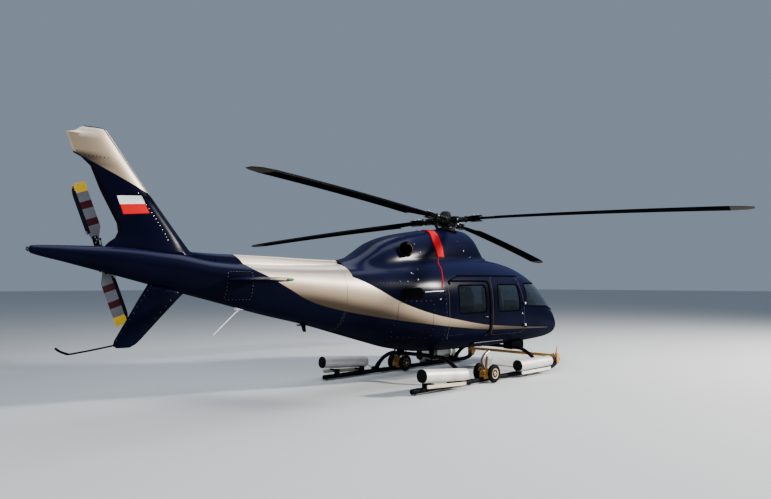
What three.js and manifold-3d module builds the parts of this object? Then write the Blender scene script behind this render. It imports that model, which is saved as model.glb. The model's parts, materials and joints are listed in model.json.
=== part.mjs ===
// Light single-turbine helicopter parked on skids, with ground-handling wheels and a tow beam.
// Millimetres. +X points to the nose, +Y to the left side, +Z up; Z = 0 is the ground.
// Lengths along X are given from the rotor mast, and the whole group is moved at the end so
// that the middle of its box is at X = 0.

import * as THREE from 'three';
import { mergeVertices } from 'three/addons/utils/BufferGeometryUtils.js';
import Module from 'manifold-3d';

const wasm = await Module();
wasm.setup();

// Driving dimensions
const GAP = 0.3;                      // clear gap between pieces that touch
const CUT_GAP = 0.5;                  // gap left by a piece that is cut round its neighbour
const WALL = 45;                      // thickness of doors and cabin walls
const GLASS = 6;
const GLASS_INSET = 8;                // how far a pane lies under the outer skin
const FAR = 9000;                     // half size of a cutting box

const NOSE_TIP_X = 3670;
const STINGER_TIP_X = -7610;
const SILL_Z = 800;                   // floor of the cabin and lower edge of the doors
const BULKHEAD_X = -950;              // rear wall of the cabin
const BOOM_JOINT_X = -3090;
const NOSE_DECK_X = 2850;             // where the solid nose begins
const NOSE_DECK_Z = 1020;             // top of the solid nose

const ROTOR_CENTRE = [0, 0, 3091];
const ROTOR_RADIUS = 5415;
const ROTOR_LEAN_FORWARD = 4.8;       // degrees that the mast leans
const ROTOR_LEAN_LEFT = 2.4;
const FIRST_BLADE_ANGLE = 12.3;       // degrees from the nose towards the left
const BLADE_COUNT = 4;
const BLADE_CHORD = 335;
const BLADE_DROOP = 225;              // how far a resting blade's tip hangs
const BLADE_ROOT_RADIUS = 620;
const BLADE_FULL_RADIUS = 1180;       // where the trailing edge steps out to full chord

const TAIL_ROTOR_CENTRE = [-6660, 330, 2200];
const TAIL_ROTOR_RADIUS = 970;
const TAIL_BLADE_LEAN = 20.5;         // degrees that the upper blade leans aft
const TAIL_BLADE_CHORD = 205;

const SKID_Y = 1120;
const SKID_RADIUS = 45;
const SKID_Z = 62;                    // middle of the skid tube, which stands on its wear shoes
const CROSSTUBE_RADIUS = 38;
const CROSSTUBES = { front: 1650, rear: -880 };

const WHEEL_X = -180;
const WHEEL_RADIUS = 165;
const WHEEL_CLEARANCE = 10;           // the lifted wheels clear the ground by this much
const WHEEL_WIDTH = 85;
const WHEEL_OFFSET = 165;             // from the skid tube's middle to each wheel's middle
const AXLE_RADIUS = 20;

const COLOURS = {
  navy: { color: 0x0d1330, roughness: 0.25, metalness: 0.3 },
  champagne: { color: 0xb8a992, roughness: 0.35, metalness: 0.5 },
  glass: { color: 0x2a3038, roughness: 0.05, metalness: 0.0 },
  black: { color: 0x101012, roughness: 0.5, metalness: 0.0 },
  trim: { color: 0x2b2d31, roughness: 0.8, metalness: 0.0 },
  leather: { color: 0x8c7a63, roughness: 0.6, metalness: 0.0 },
  metal: { color: 0x84868a, roughness: 0.4, metalness: 0.9 },
  silver: { color: 0xb9bab8, roughness: 0.5, metalness: 0.2 },
  exhaust: { color: 0x8d7456, roughness: 0.5, metalness: 0.8 },
  red: { color: 0xc02424, roughness: 0.8, metalness: 0.0 },
  yellow: { color: 0xd08c1c, roughness: 0.5, metalness: 0.2 },
  tyre: { color: 0x17171a, roughness: 0.9, metalness: 0.0 },
  blade: { color: 0x141416, roughness: 0.5, metalness: 0.0 },
  tailBlade: { color: 0x9a9da3, roughness: 0.4, metalness: 0.1 },
};

// Solids

const orientedGeometry = (positions, index) => {
  let volume = 0;
  const corner = (i) => new THREE.Vector3().fromArray(positions, index[i] * 3);
  for (let i = 0; i < index.length; i += 3) {
    volume += corner(i).dot(corner(i + 1).cross(corner(i + 2)));
  }
  const order = volume < 0 ? index.toReversed() : index;
  const geometry = new THREE.BufferGeometry();
  geometry.setAttribute('position', new THREE.Float32BufferAttribute(positions, 3));
  geometry.setIndex(order);
  return geometry;
};

const solidOf = (geometry) => {
  const bare = geometry.clone();
  bare.deleteAttribute('normal');
  bare.deleteAttribute('uv');
  const merged = mergeVertices(bare, 1e-3);
  const all = merged.index.array;
  const kept = [];
  for (let i = 0; i < all.length; i += 3) {
    const [a, b, c] = [all[i], all[i + 1], all[i + 2]];
    if (a !== b && b !== c && c !== a) kept.push(a, b, c);
  }
  return new wasm.Manifold(new wasm.Mesh({
    numProp: 3,
    vertProperties: merged.attributes.position.array,
    triVerts: new Uint32Array(kept),
  }));
};

const geometryOf = (solid) => {
  const { vertProperties, triVerts } = solid.getMesh();
  const geometry = new THREE.BufferGeometry();
  geometry.setAttribute('position', new THREE.BufferAttribute(vertProperties, 3));
  geometry.setIndex(new THREE.BufferAttribute(triVerts, 1));
  return geometry;
};

const joined = (...solids) => solids.reduce((sum, solid) => sum.add(solid));

// A skin through rings of the same number of points, closed by a flat cap at each end.
const loft = (rings) => {
  const count = rings[0].length;
  const positions = rings.flat(2);
  const index = [];
  for (let ring = 0; ring < rings.length - 1; ring += 1) {
    for (let i = 0; i < count; i += 1) {
      const a = ring * count + i;
      const b = ring * count + ((i + 1) % count);
      index.push(a, b, b + count, a, b + count, a + count);
    }
  }
  const last = (rings.length - 1) * count;
  for (let i = 1; i < count - 1; i += 1) {
    index.push(0, i + 1, i, last, last + i, last + i + 1);
  }
  return solidOf(orientedGeometry(positions, index));
};

const boxBetween = (low, high) => {
  const size = high.map((value, i) => value - low[i]);
  const geometry = new THREE.BoxGeometry(...size);
  geometry.translate(...low.map((value, i) => value + size[i] / 2));
  return solidOf(geometry);
};

// Rounds the corners of an outline of [u, v] points.
const roundedShape = (points, radius) => {
  const shape = new THREE.Shape();
  points.forEach(([u, v], i) => {
    const corner = new THREE.Vector2(u, v);
    const before = new THREE.Vector2(...points.at(i - 1)).sub(corner);
    const after = new THREE.Vector2(...points[(i + 1) % points.length]).sub(corner);
    const reach = Math.min(radius, before.length() * 0.45, after.length() * 0.45);
    const start = before.setLength(reach).add(corner);
    const end = after.setLength(reach).add(corner);
    if (i === 0) shape.moveTo(start.x, start.y);
    else shape.lineTo(start.x, start.y);
    if (reach > 0) shape.quadraticCurveTo(u, v, end.x, end.y);
  });
  shape.closePath();
  return shape;
};

// A side-view outline of [x, z] points, run across from y = from to y = to.
const sidePrism = (points, from, to, radius = 0, curveSegments = 3) => {
  const options = { depth: to - from, bevelEnabled: false, curveSegments };
  const geometry = new THREE.ExtrudeGeometry(roundedShape(points, radius), options);
  geometry.rotateX(Math.PI / 2);
  geometry.translate(0, to, 0);
  return solidOf(geometry);
};

const cylinderBetween = (start, end, radius, sides = 16, endRadius = radius) => {
  const from = new THREE.Vector3(...start);
  const to = new THREE.Vector3(...end);
  const axis = to.clone().sub(from);
  const geometry = new THREE.CylinderGeometry(endRadius, radius, axis.length(), sides);
  geometry.translate(0, axis.length() / 2, 0);
  const turn = new THREE.Quaternion().setFromUnitVectors(new THREE.Vector3(0, 1, 0), axis.normalize());
  geometry.applyQuaternion(turn);
  geometry.translate(...start);
  return solidOf(geometry);
};

const tubeAlong = (points, radius, sides = 10, steps = 24) => {
  const circle = new THREE.Shape();
  for (let i = 0; i < sides; i += 1) {
    const angle = (2 * Math.PI * i) / sides;
    const at = [radius * Math.cos(angle), radius * Math.sin(angle)];
    if (i === 0) circle.moveTo(...at);
    else circle.lineTo(...at);
  }
  circle.closePath();
  const path = new THREE.CatmullRomCurve3(points.map((p) => new THREE.Vector3(...p)), false, 'centripetal');
  return solidOf(new THREE.ExtrudeGeometry(circle, { steps, extrudePath: path, bevelEnabled: false }));
};

// A round solid about an axis through centre; profile holds [radius, distance along axis].
const turned = (profile, centre, axis, sides = 20) => {
  const geometry = new THREE.LatheGeometry(profile.map((p) => new THREE.Vector2(...p)), sides);
  const turn = new THREE.Quaternion().setFromUnitVectors(
    new THREE.Vector3(0, 1, 0),
    new THREE.Vector3(...axis).normalize(),
  );
  geometry.applyQuaternion(turn);
  geometry.translate(...centre);
  const { array } = geometry.attributes.position;
  return solidOf(orientedGeometry([...array], [...geometry.index.array]));
};

// Smooth columns: a table's rows are joined by monotone cubic curves, so no value overshoots.

const columnCurve = (xs, ys) => {
  const steps = xs.slice(1).map((x, i) => x - xs[i]);
  const slopes = steps.map((step, i) => (ys[i + 1] - ys[i]) / step);
  const tangents = ys.map((_, i) => {
    if (i === 0) return slopes[0];
    if (i === ys.length - 1) return slopes.at(-1);
    if (slopes[i - 1] * slopes[i] <= 0) return 0;
    const w1 = 2 * steps[i] + steps[i - 1];
    const w2 = steps[i] + 2 * steps[i - 1];
    return (w1 + w2) / (w1 / slopes[i - 1] + w2 / slopes[i]);
  });
  return (x) => {
    const found = xs.findIndex((value) => value >= x);
    const i = Math.min(Math.max(found - 1, 0), xs.length - 2);
    const t = Math.min(Math.max((x - xs[i]) / steps[i], 0), 1);
    const [a, b] = [ys[i], ys[i + 1]];
    const [ta, tb] = [tangents[i] * steps[i], tangents[i + 1] * steps[i]];
    return (2 * t ** 3 - 3 * t ** 2 + 1) * a + (t ** 3 - 2 * t ** 2 + t) * ta
      + (3 * t ** 2 - 2 * t ** 3) * b + (t ** 3 - t ** 2) * tb;
  };
};

const tableCurves = (rows) => {
  const xs = rows.map((row) => row[0]);
  return rows[0].slice(1).map((_, column) => columnCurve(xs, rows.map((row) => row[column + 1])));
};

// The body from stinger to nose. Columns: x, lowest z, highest z, half width, z of the widest
// point, fullness of the upper half, fullness of the lower half (2 is an ellipse).
const BODY = [
  [STINGER_TIP_X, 2195, 2268, 34, 2235, 2.0, 2.0],
  [-7560, 2176, 2280, 52, 2230, 2.0, 2.0],
  [-7200, 2085, 2292, 95, 2195, 2.0, 2.0],
  [-6600, 1930, 2300, 150, 2130, 2.1, 2.0],
  [-5900, 1745, 2255, 205, 2030, 2.2, 2.0],
  [-5200, 1565, 2150, 255, 1925, 2.3, 2.0],
  [-4400, 1355, 2120, 330, 1820, 2.4, 2.0],
  [-3600, 1170, 2130, 430, 1730, 2.4, 2.0],
  [-2900, 980, 2160, 545, 1640, 2.4, 2.1],
  [-2200, 790, 2230, 665, 1520, 2.5, 2.2],
  [-1600, 640, 2290, 760, 1400, 2.6, 2.4],
  [-950, 550, 2320, 825, 1280, 2.7, 2.7],
  [200, 530, 2330, 840, 1250, 2.8, 2.9],
  [1000, 530, 2310, 835, 1240, 2.7, 2.9],
  [1600, 530, 2235, 820, 1220, 2.6, 2.8],
  [2100, 540, 2100, 790, 1160, 2.5, 2.7],
  [2450, 550, 1955, 752, 1100, 2.4, 2.6],
  [2750, 560, 1775, 705, 1030, 2.3, 2.5],
  [3050, 575, 1520, 635, 960, 2.2, 2.4],
  [3300, 600, 1285, 535, 900, 2.1, 2.3],
  [3500, 645, 1105, 405, 865, 2.1, 2.1],
  [3620, 715, 985, 260, 850, 2.0, 2.0],
  [NOSE_TIP_X, 800, 890, 80, 845, 2.0, 2.0],
];
const bodyColumns = tableCurves(BODY);

// The cowlings over mast and engine, with the same columns.
const COWLING = [
  [-2950, 1700, 2205, 250, 2000, 2.0, 2.0],
  [-2600, 1700, 2290, 350, 2020, 2.2, 2.0],
  [-2350, 1700, 2420, 420, 2040, 2.3, 2.0],
  [-2100, 1700, 2565, 465, 2050, 2.3, 2.0],
  [-1800, 1700, 2670, 490, 2050, 2.3, 2.0],
  [-1300, 1700, 2770, 505, 2060, 2.4, 2.0],
  [-650, 1700, 2860, 490, 2080, 2.4, 2.0],
  [-100, 1700, 2900, 450, 2100, 2.3, 2.0],
  [250, 1700, 2905, 405, 2100, 2.3, 2.0],
  [480, 1700, 2860, 370, 2100, 2.2, 2.0],
  [680, 1700, 2745, 330, 2100, 2.2, 2.0],
  [880, 1700, 2580, 275, 2100, 2.1, 2.0],
  [1080, 1700, 2420, 190, 2100, 2.0, 2.0],
  [1230, 1700, 2300, 90, 2100, 2.0, 2.0],
];
const cowlingColumns = tableCurves(COWLING);

const ringAt = (columns, x, inset, count) => {
  const [low, high, half, wide, upper, lower] = columns.map((column) => column(x));
  return Array.from({ length: count }, (_, i) => {
    const angle = (2 * Math.PI * (i + 0.5)) / count;
    const [c, s] = [Math.cos(angle), Math.sin(angle)];
    const power = 2 / (s > 0 ? upper : lower);
    const rise = s > 0 ? high - wide - inset : wide - low - inset;
    return [
      x,
      Math.max(half - inset, 4) * Math.sign(c) * Math.abs(c) ** power,
      wide + Math.max(rise, 4) * Math.sign(s) * Math.abs(s) ** power,
    ];
  });
};

const stations = (from, to, count) => Array.from({ length: count + 1 }, (_, i) => from + ((to - from) * i) / count);

const bodyBetween = (xs, inset, count) => loft(xs.map((x) => ringAt(bodyColumns, x, inset, count)));
const cowlingBetween = (xs, inset, count) => loft(xs.map((x) => ringAt(cowlingColumns, x, inset, count)));

const BODY_POINTS = 20;
const straightStations = [-1150, -700, 300, 1000, 1500, 1900, 2250, 2550, 2800];
const podStations = [...straightStations, 3050, 3250, 3400, 3520, 3600, 3645, NOSE_TIP_X];
const podOuter = bodyBetween(podStations, 0, BODY_POINTS);
const podInner = bodyBetween([...straightStations, 3050, 3250, 3450], WALL, BODY_POINTS);

const lowerHalf = boxBetween([BULKHEAD_X + GAP, -FAR, 0], [FAR, FAR, SILL_Z]);
const upperHalf = boxBetween([BULKHEAD_X + GAP, -FAR, SILL_Z + GAP], [FAR, FAR, 4000]);
const noseBlock = boxBetween([NOSE_DECK_X, -FAR, SILL_Z + GAP], [FAR, FAR, NOSE_DECK_Z]);
const noseBlockRoom = boxBetween([NOSE_DECK_X - GAP, -FAR, 0], [FAR, FAR, NOSE_DECK_Z + GAP]);

// Doors and windows, as side-view outlines of [x, z] on both sides.
const FRONT_DOOR = [[450, SILL_Z + 10], [450, 1950], [1440, 1950], [1560, 1450], [1600, SILL_Z + 10]];
const SLIDING_DOOR = [[-880, SILL_Z + GAP], [-880, 1880], [330, 1880], [330, SILL_Z + GAP]];
const FRONT_WINDOW = [[640, 1270], [640, 1800], [1400, 1800], [1430, 1270]];
const SLIDING_WINDOW = [[-600, 1270], [-600, 1790], [230, 1790], [230, 1270]];
const WINDSHIELD = [[1690, 1355], [1683, 1825], [3400, 1840], [3750, 1130], [3150, 1130], [2600, 1320]];
const CENTRE_POST = 35;               // half width of the post between the windshields
const DOOR_GAP = 5;
const DOOR_CORNER = 90;
const WINDOW_CORNER = 80;
const SIDES = [['right', -1], ['left', 1]];

// Grows or shrinks an outline by moving each point away from its middle.
const grown = (outline, by) => {
  const us = outline.map((p) => p[0]);
  const vs = outline.map((p) => p[1]);
  const middle = [(Math.min(...us) + Math.max(...us)) / 2, (Math.min(...vs) + Math.max(...vs)) / 2];
  return outline.map(([u, v]) => [u + Math.sign(u - middle[0]) * by, v + Math.sign(v - middle[1]) * by]);
};

const sideRange = (side) => (side > 0 ? [200, 1200] : [-1200, -200]);
const shell = podOuter.subtract(podInner);
const paneSkin = bodyBetween(podStations, GLASS_INSET, BODY_POINTS)
  .subtract(bodyBetween(podStations.slice(0, -3), GLASS_INSET + GLASS, BODY_POINTS));

const group = new THREE.Group();
const body = new THREE.Group();
group.add(body);

const addSolid = (name, solid, colour, parent = body) => {
  const material = new THREE.MeshStandardMaterial(COLOURS[colour]);
  const mesh = new THREE.Mesh(geometryOf(solid), material);
  mesh.name = name;
  parent.add(mesh);
  return mesh;
};

// Cabin
let cabin = shell.intersect(upperHalf).subtract(noseBlockRoom);
for (const side of [1, -1]) {
  const [from, to] = sideRange(side);
  for (const outline of [FRONT_DOOR, SLIDING_DOOR]) {
    cabin = cabin.subtract(sidePrism(grown(outline, DOOR_GAP), from, to, DOOR_CORNER));
    const sillRear = outline[0][0] + DOOR_CORNER / 2;
    const sillFront = outline.at(-1)[0] - DOOR_CORNER / 2;
    cabin = cabin.subtract(boxBetween([sillRear, from, SILL_Z - 5], [sillFront, to, SILL_Z + 20]));
  }
  const [glassFrom, glassTo] = side > 0 ? [CENTRE_POST, 1200] : [-1200, -CENTRE_POST];
  cabin = cabin.subtract(sidePrism(WINDSHIELD, glassFrom, glassTo, 40));
}
// Two hinges at the front edge of each front door, on one straight axis just outside the skin.
const HINGES = [[1600, 950], [1572, 1400]];
const HINGE_STANDOFF = 28;
const PIN_RADIUS = 9;
const PIN_CLEARANCE = 0.8;
const KNUCKLE_RADIUS = 18;
const sideAt = (x, z) => {
  const [low, high, half, wide, upper, lower] = bodyColumns.map((column) => column(x));
  const power = z > wide ? upper : lower;
  const share = z > wide ? (z - wide) / (high - wide) : (wide - z) / (wide - low);
  return half * (1 - share ** power) ** (1 / power);
};
const hingePoints = HINGES.map(([x, z]) => new THREE.Vector3(x, -sideAt(x, z) - HINGE_STANDOFF, z));
const hingeUp = hingePoints[1].clone().sub(hingePoints[0]).normalize();
const hingeForward = new THREE.Vector3(1, 0, 0).addScaledVector(hingeUp, -hingeUp.x).normalize();
const hingeInboard = hingeUp.clone().cross(hingeForward);
const hingeBasis = new THREE.Matrix4().makeBasis(hingeForward, hingeInboard, hingeUp);
const atHinges = (solid) => joined(...hingePoints.map((point) => solid.transform(hingeBasis.clone().setPosition(point).elements)));
const hingeLug = atHinges(joined(
  cylinderBetween([0, 0, -40], [0, 0, -4], KNUCKLE_RADIUS, 10),
  cylinderBetween([0, 0, -40], [0, 0, 36], PIN_RADIUS, 12),
  boxBetween([0, -10, -36], [75, 14, -8]),
  boxBetween([20, 0, -36], [75, 58, -8]),
));
const hingeKnuckle = atHinges(joined(
  cylinderBetween([0, 0, -4 + GAP], [0, 0, 36], KNUCKLE_RADIUS, 10),
  boxBetween([-75, -10, 0], [0, 14, 32]),
  boxBetween([-75, 0, 0], [-25, 58, 32]),
).subtract(cylinderBetween([0, 0, -20], [0, 0, 60], PIN_RADIUS + PIN_CLEARANCE, 12)));
const toSide = (solid, side) => (side > 0 ? solid.mirror([0, 1, 0]) : solid);

for (const [, side] of SIDES) cabin = joined(cabin, toSide(hingeLug, side));
addSolid('lower_fuselage', podOuter.intersect(lowerHalf), 'navy');
addSolid('nose_cone', podOuter.intersect(noseBlock), 'navy');
addSolid('cabin_frame', cabin, 'navy');

for (const [name, side] of SIDES) {
  const [from, to] = sideRange(side);
  const doors = [
    ['front_door', FRONT_DOOR, 'front_window', FRONT_WINDOW],
    ['sliding_door', SLIDING_DOOR, 'sliding_window', SLIDING_WINDOW],
  ];
  for (const [doorName, outline, windowName, opening] of doors) {
    const panel = shell.intersect(sidePrism(outline, from, to, DOOR_CORNER));
    const hole = sidePrism(opening, from, to, WINDOW_CORNER);
    const pane = sidePrism(grown(opening, -GAP), from, to, WINDOW_CORNER);
    const hinged = outline === FRONT_DOOR ? joined(panel, toSide(hingeKnuckle, side)) : panel;
    addSolid(`${doorName}_${name}`, hinged.subtract(hole), 'navy');
    addSolid(`${windowName}_${name}`, paneSkin.intersect(pane), 'glass');
  }
  const [glassFrom, glassTo] = side > 0 ? [CENTRE_POST + GAP, 1200] : [-1200, -CENTRE_POST - GAP];
  const windshield = paneSkin.intersect(sidePrism(grown(WINDSHIELD, -GAP), glassFrom, glassTo, 40));
  addSolid(`windshield_${name}`, windshield, 'glass');
}

// Rear fuselage and boom. The cowling's edge runs along this side-view line of [x, z].
const COWLING_EDGE = [[BULKHEAD_X, 2100], [-1800, 1940], [-2950, 1990], [-3000, 2400]];
const rearStations = stations(BOOM_JOINT_X + GAP, BULKHEAD_X - GAP, 6);
const rearBody = bodyBetween(rearStations, 0, BODY_POINTS);
const aboveEdge = sidePrism([...COWLING_EDGE, [-3000, 3200], [BULKHEAD_X + 200, 3200], [BULKHEAD_X + 200, 2100]], -FAR, FAR);
const aboveEdgeRoom = sidePrism(
  [...COWLING_EDGE.map(([x, z]) => [x, z - GAP]), [-3000, 3200], [BULKHEAD_X + 200, 3200], [BULKHEAD_X + 200, 2100 - GAP]],
  -FAR,
  FAR,
);
addSolid('rear_fuselage', rearBody.subtract(aboveEdgeRoom), 'navy');

const BOOM_POINTS = 16;
const boomStations = [STINGER_TIP_X, -7570, -7450, ...stations(-7200, BOOM_JOINT_X - GAP, 8)];
const boom = bodyBetween(boomStations, 0, BOOM_POINTS);
const boomRoom = bodyBetween(boomStations, -CUT_GAP, BOOM_POINTS);
addSolid('tail_boom', boom, 'navy');

// Cowlings
const COWLING_SPLIT_X = -350;
const COWLING_POINTS = 16;
const SKIN = 25;
const cabinRoof = bodyBetween(straightStations, -CUT_GAP, BODY_POINTS)
  .intersect(boxBetween([BULKHEAD_X - CUT_GAP, -FAR, 0], [FAR, FAR, 4000]));
const engineStations = stations(-2950, COWLING_SPLIT_X - GAP, 8);
const engineRegion = boxBetween([-2950, -FAR, 0], [COWLING_SPLIT_X - GAP, FAR, 4000]);
const engineTop = joined(
  cowlingBetween(engineStations, 0, COWLING_POINTS),
  bodyBetween(stations(-2950, BULKHEAD_X - CUT_GAP, 5), 0, BODY_POINTS),
);
const engineHollow = cowlingBetween(stations(-2500, COWLING_SPLIT_X - 60, 6), SKIN, COWLING_POINTS);
const beforeEdge = boxBetween([BULKHEAD_X, -FAR, 2100], [COWLING_SPLIT_X, FAR, 4000]);
let engineCowling = engineTop
  .intersect(joined(aboveEdge, beforeEdge))
  .intersect(engineRegion)
  .subtract(cabinRoof)
  .subtract(engineHollow);
const mastCowlingSolid = cowlingBetween([...stations(COWLING_SPLIT_X, 480, 4), 620, 780, 930, 1080, 1230], 0, COWLING_POINTS)
  .subtract(cabinRoof);

// Exhausts and the engine
const EXHAUST_RADIUS = 125;
const EXHAUST_WALL = 6;
const ENGINE_HALF = 270;
const deckAt = (x) => {
  const [[x0, z0], [x1, z1], [x2, z2]] = COWLING_EDGE;
  return x > x1 ? z1 + ((z0 - z1) * (x - x1)) / (x0 - x1) : z2 + ((z1 - z2) * (x - x2)) / (x1 - x2);
};
const enginePoints = [-1050, -1800, -2150];
const ENGINE_TOP_Z = 2500;
addSolid(
  'engine_block',
  sidePrism([...enginePoints.map((x) => [x, deckAt(x) + GAP]), [-2150, 2420], [-1800, ENGINE_TOP_Z], [-1050, ENGINE_TOP_Z]], -ENGINE_HALF, ENGINE_HALF),
  'metal',
);
for (const [name, side] of SIDES) {
  const inner = [-1560, side * (ENGINE_HALF + GAP), 2380];
  const bend = [-1610, side * 400, 2410];
  const outer = [-1740, side * 545, 2440];
  const pipe = tubeAlong([inner, bend, outer], EXHAUST_RADIUS, 12, 3);
  const bore = tubeAlong([inner, bend, outer], EXHAUST_RADIUS - EXHAUST_WALL, 12, 3);
  const room = tubeAlong([inner, bend, outer], EXHAUST_RADIUS + 4, 12, 3);
  engineCowling = engineCowling.subtract(room);
  const outside = side > 0
    ? boxBetween([-3000, ENGINE_HALF + GAP, 0], [0, 2000, 4000])
    : boxBetween([-3000, -2000, 0], [0, -ENGINE_HALF - GAP, 4000]);
  addSolid(`exhaust_${name}`, pipe.subtract(bore).intersect(outside), 'exhaust');
}

// Red covers over the two air intakes, seated in shallow recesses in the cowling.
const INTAKE = [[-880, 2835], [-600, 2835], [-670, 2640], [-640, 2330], [-760, 2330], [-900, 2410]];
const coverSkin = (outside, inside) => cowlingBetween(engineStations, -outside, COWLING_POINTS)
  .subtract(cowlingBetween(stations(-3100, COWLING_SPLIT_X + 100, 9), inside, COWLING_POINTS));
const coverPiece = coverSkin(14, 12);
for (const [name, side] of SIDES) {
  const range = side > 0 ? [60, 1200] : [-1200, -60];
  const room = coverSkin(60, 12 + GAP).intersect(sidePrism(grown(INTAKE, 2), ...range));
  engineCowling = engineCowling.subtract(room);
  addSolid(`intake_cover_${name}`, coverPiece.intersect(sidePrism(INTAKE, ...range)), 'red');
}
addSolid('engine_cowling', engineCowling, 'navy');

// Mast, rotor head and blades, in a group that leans with the mast.
const rotor = new THREE.Group();
rotor.position.set(...ROTOR_CENTRE);
const mastAxis = new THREE.Vector3(
  Math.tan(THREE.MathUtils.degToRad(ROTOR_LEAN_FORWARD)),
  Math.tan(THREE.MathUtils.degToRad(ROTOR_LEAN_LEFT)),
  1,
).normalize();
rotor.quaternion.setFromUnitVectors(new THREE.Vector3(0, 0, 1), mastAxis);
body.add(rotor);

const MAST_RADIUS = 55;
const MAST_SIDES = 14;
const MAST_FOOT = -400;
const HUB_ARM = 560;
const mastHole = joined(
  cylinderBetween([0, 0, MAST_FOOT - GAP], [0, 0, 200], MAST_RADIUS + 12, 16),
  cylinderBetween([0, 0, -255], [0, 0, 200], 230, 20),
);
const mastHolePlaced = mastHole.transform(new THREE.Matrix4().compose(rotor.position, rotor.quaternion, new THREE.Vector3(1, 1, 1)).elements);
addSolid('mast_cowling', mastCowlingSolid.subtract(mastHolePlaced), 'navy');

const armAngles = Array.from({ length: BLADE_COUNT }, (_, i) => FIRST_BLADE_ANGLE + (360 / BLADE_COUNT) * i);
const ARM_SIDES = 10;
const armCone = (clear) => cylinderBetween([60, 0, 0], [HUB_ARM + clear, 0, -4], 62 + clear, ARM_SIDES, 48 + clear);
const damper = cylinderBetween([150, 95, 20], [470, 62, 10], 24, 6);
const turnedBy = (solid, degrees) => solid.rotate(0, 0, degrees);
let hub = joined(
  cylinderBetween([0, 0, MAST_FOOT], [0, 0, 60], MAST_RADIUS, MAST_SIDES),
  turned([[0, -110], [150, -110], [185, -60], [185, 45], [120, 85], [105, 150], [60, 190], [0, 195]], [0, 0, 0], [0, 0, 1], 16),
);
for (const angle of armAngles) hub = joined(hub, turnedBy(joined(armCone(0), damper), angle));
addSolid('rotor_hub', hub, 'metal', rotor);

let swashplate = turned([[0, -235], [190, -235], [205, -215], [205, -185], [190, -165], [0, -165]], [0, 0, 0], [0, 0, 1], 16)
  .subtract(cylinderBetween([0, 0, MAST_FOOT], [0, 0, 60], MAST_RADIUS + CUT_GAP, MAST_SIDES));
const pitchLink = cylinderBetween([160, -60, -200], [330, -110, -20], 14, 6);
for (const angle of armAngles) swashplate = joined(swashplate, turnedBy(pitchLink, angle));
addSolid('swashplate', swashplate, 'metal', rotor);

// A blade section's outline as [share of the chord behind the leading edge, half thickness].
const AIRFOIL = [[0, 0], [0.06, 0.045], [0.3, 0.062], [1, 0.006]];
const sectionRing = (chord, thickness) => [
  ...AIRFOIL.map(([u, v]) => [u * chord, v * thickness * chord]),
  ...AIRFOIL.slice(1).toReversed().map(([u, v]) => [u * chord, -v * thickness * chord]),
];

// Columns: radius, distance of the leading edge ahead of the blade's axis, chord, thickness.
const BLADE = [
  [BLADE_ROOT_RADIUS, 78, 150, 3.2],
  [760, 84, 190, 2.0],
  [BLADE_FULL_RADIUS - 10, 92, 272, 1.2],
  [BLADE_FULL_RADIUS, 92, BLADE_CHORD, 1.0],
  [2200, 90, BLADE_CHORD, 1.0],
  [4300, 86, BLADE_CHORD, 0.9],
  [5080, 84, BLADE_CHORD, 0.85],
  [5300, 55, 270, 0.8],
  [ROTOR_RADIUS, -20, 150, 0.8],
];
const BLADE_TWIST = 8;                // degrees from root to tip
const droopAt = (radius) => {
  const share = (radius - BLADE_ROOT_RADIUS) / (ROTOR_RADIUS - BLADE_ROOT_RADIUS);
  return BLADE_DROOP * (0.47 * share + 0.53 * share ** 1.8);
};
const mainBlade = loft(BLADE.map(([radius, lead, chord, thickness]) => {
  const twist = THREE.MathUtils.degToRad(BLADE_TWIST * (1 - radius / ROTOR_RADIUS) - 1);
  const droop = radius > BLADE_ROOT_RADIUS ? droopAt(radius) : 0;
  return sectionRing(chord, thickness).map(([u, v]) => {
    const back = lead - u;
    return [radius, back * Math.cos(twist) - v * Math.sin(twist), back * Math.sin(twist) + v * Math.cos(twist) - droop];
  });
}));
const bladeGrip = boxBetween([HUB_ARM - 70, -74, -56], [BLADE_ROOT_RADIUS + 120, 76, 48]);
const bladeSolid = joined(mainBlade, bladeGrip).subtract(armCone(CUT_GAP));
armAngles.forEach((angle, i) => {
  const blade = addSolid(`main_blade_${i + 1}`, bladeSolid, 'blade', rotor);
  blade.rotation.z = THREE.MathUtils.degToRad(angle);
});

// Tail surfaces. Sections are lens shaped; columns: height, leading edge x, trailing edge x, thickness.
const LENS = [[0, 0], [0.08, 0.6], [0.35, 1], [1, 0.12]];
const lensRing = (place, lead, trail, thickness) => [
  ...LENS.map(([u, v]) => place(lead + (trail - lead) * u, (v * thickness) / 2)),
  ...LENS.slice(1).toReversed().map(([u, v]) => place(lead + (trail - lead) * u, (-v * thickness) / 2)),
];
const FIN = [
  [2180, -5480, -6760, 215],
  [2300, -5600, -6740, 190],
  [2360, -5650, -6680, 178],
  [2410, -5692, -6610, 170],
  [2490, -5757, -6574, 160],
  [2600, -5845, -6592, 150],
  [2765, -5976, -6681, 140],
  [3010, -6170, -6812, 128],
  [3300, -6394, -6935, 116],
  [3400, -6468, -7050, 112],
  [3440, -6498, -7140, 110],
  [3690, -6686, -7232, 100],
  [3712, -6702, -7140, 92],
  [3770, -6745, -7070, 70],
  [3795, -6790, -7010, 40],
];
const verticalFin = loft(FIN.map(([z, lead, trail, thickness]) => lensRing((x, y) => [x, y, z], lead, trail, thickness)));
addSolid('vertical_fin', verticalFin.subtract(boomRoom), 'navy');

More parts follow.
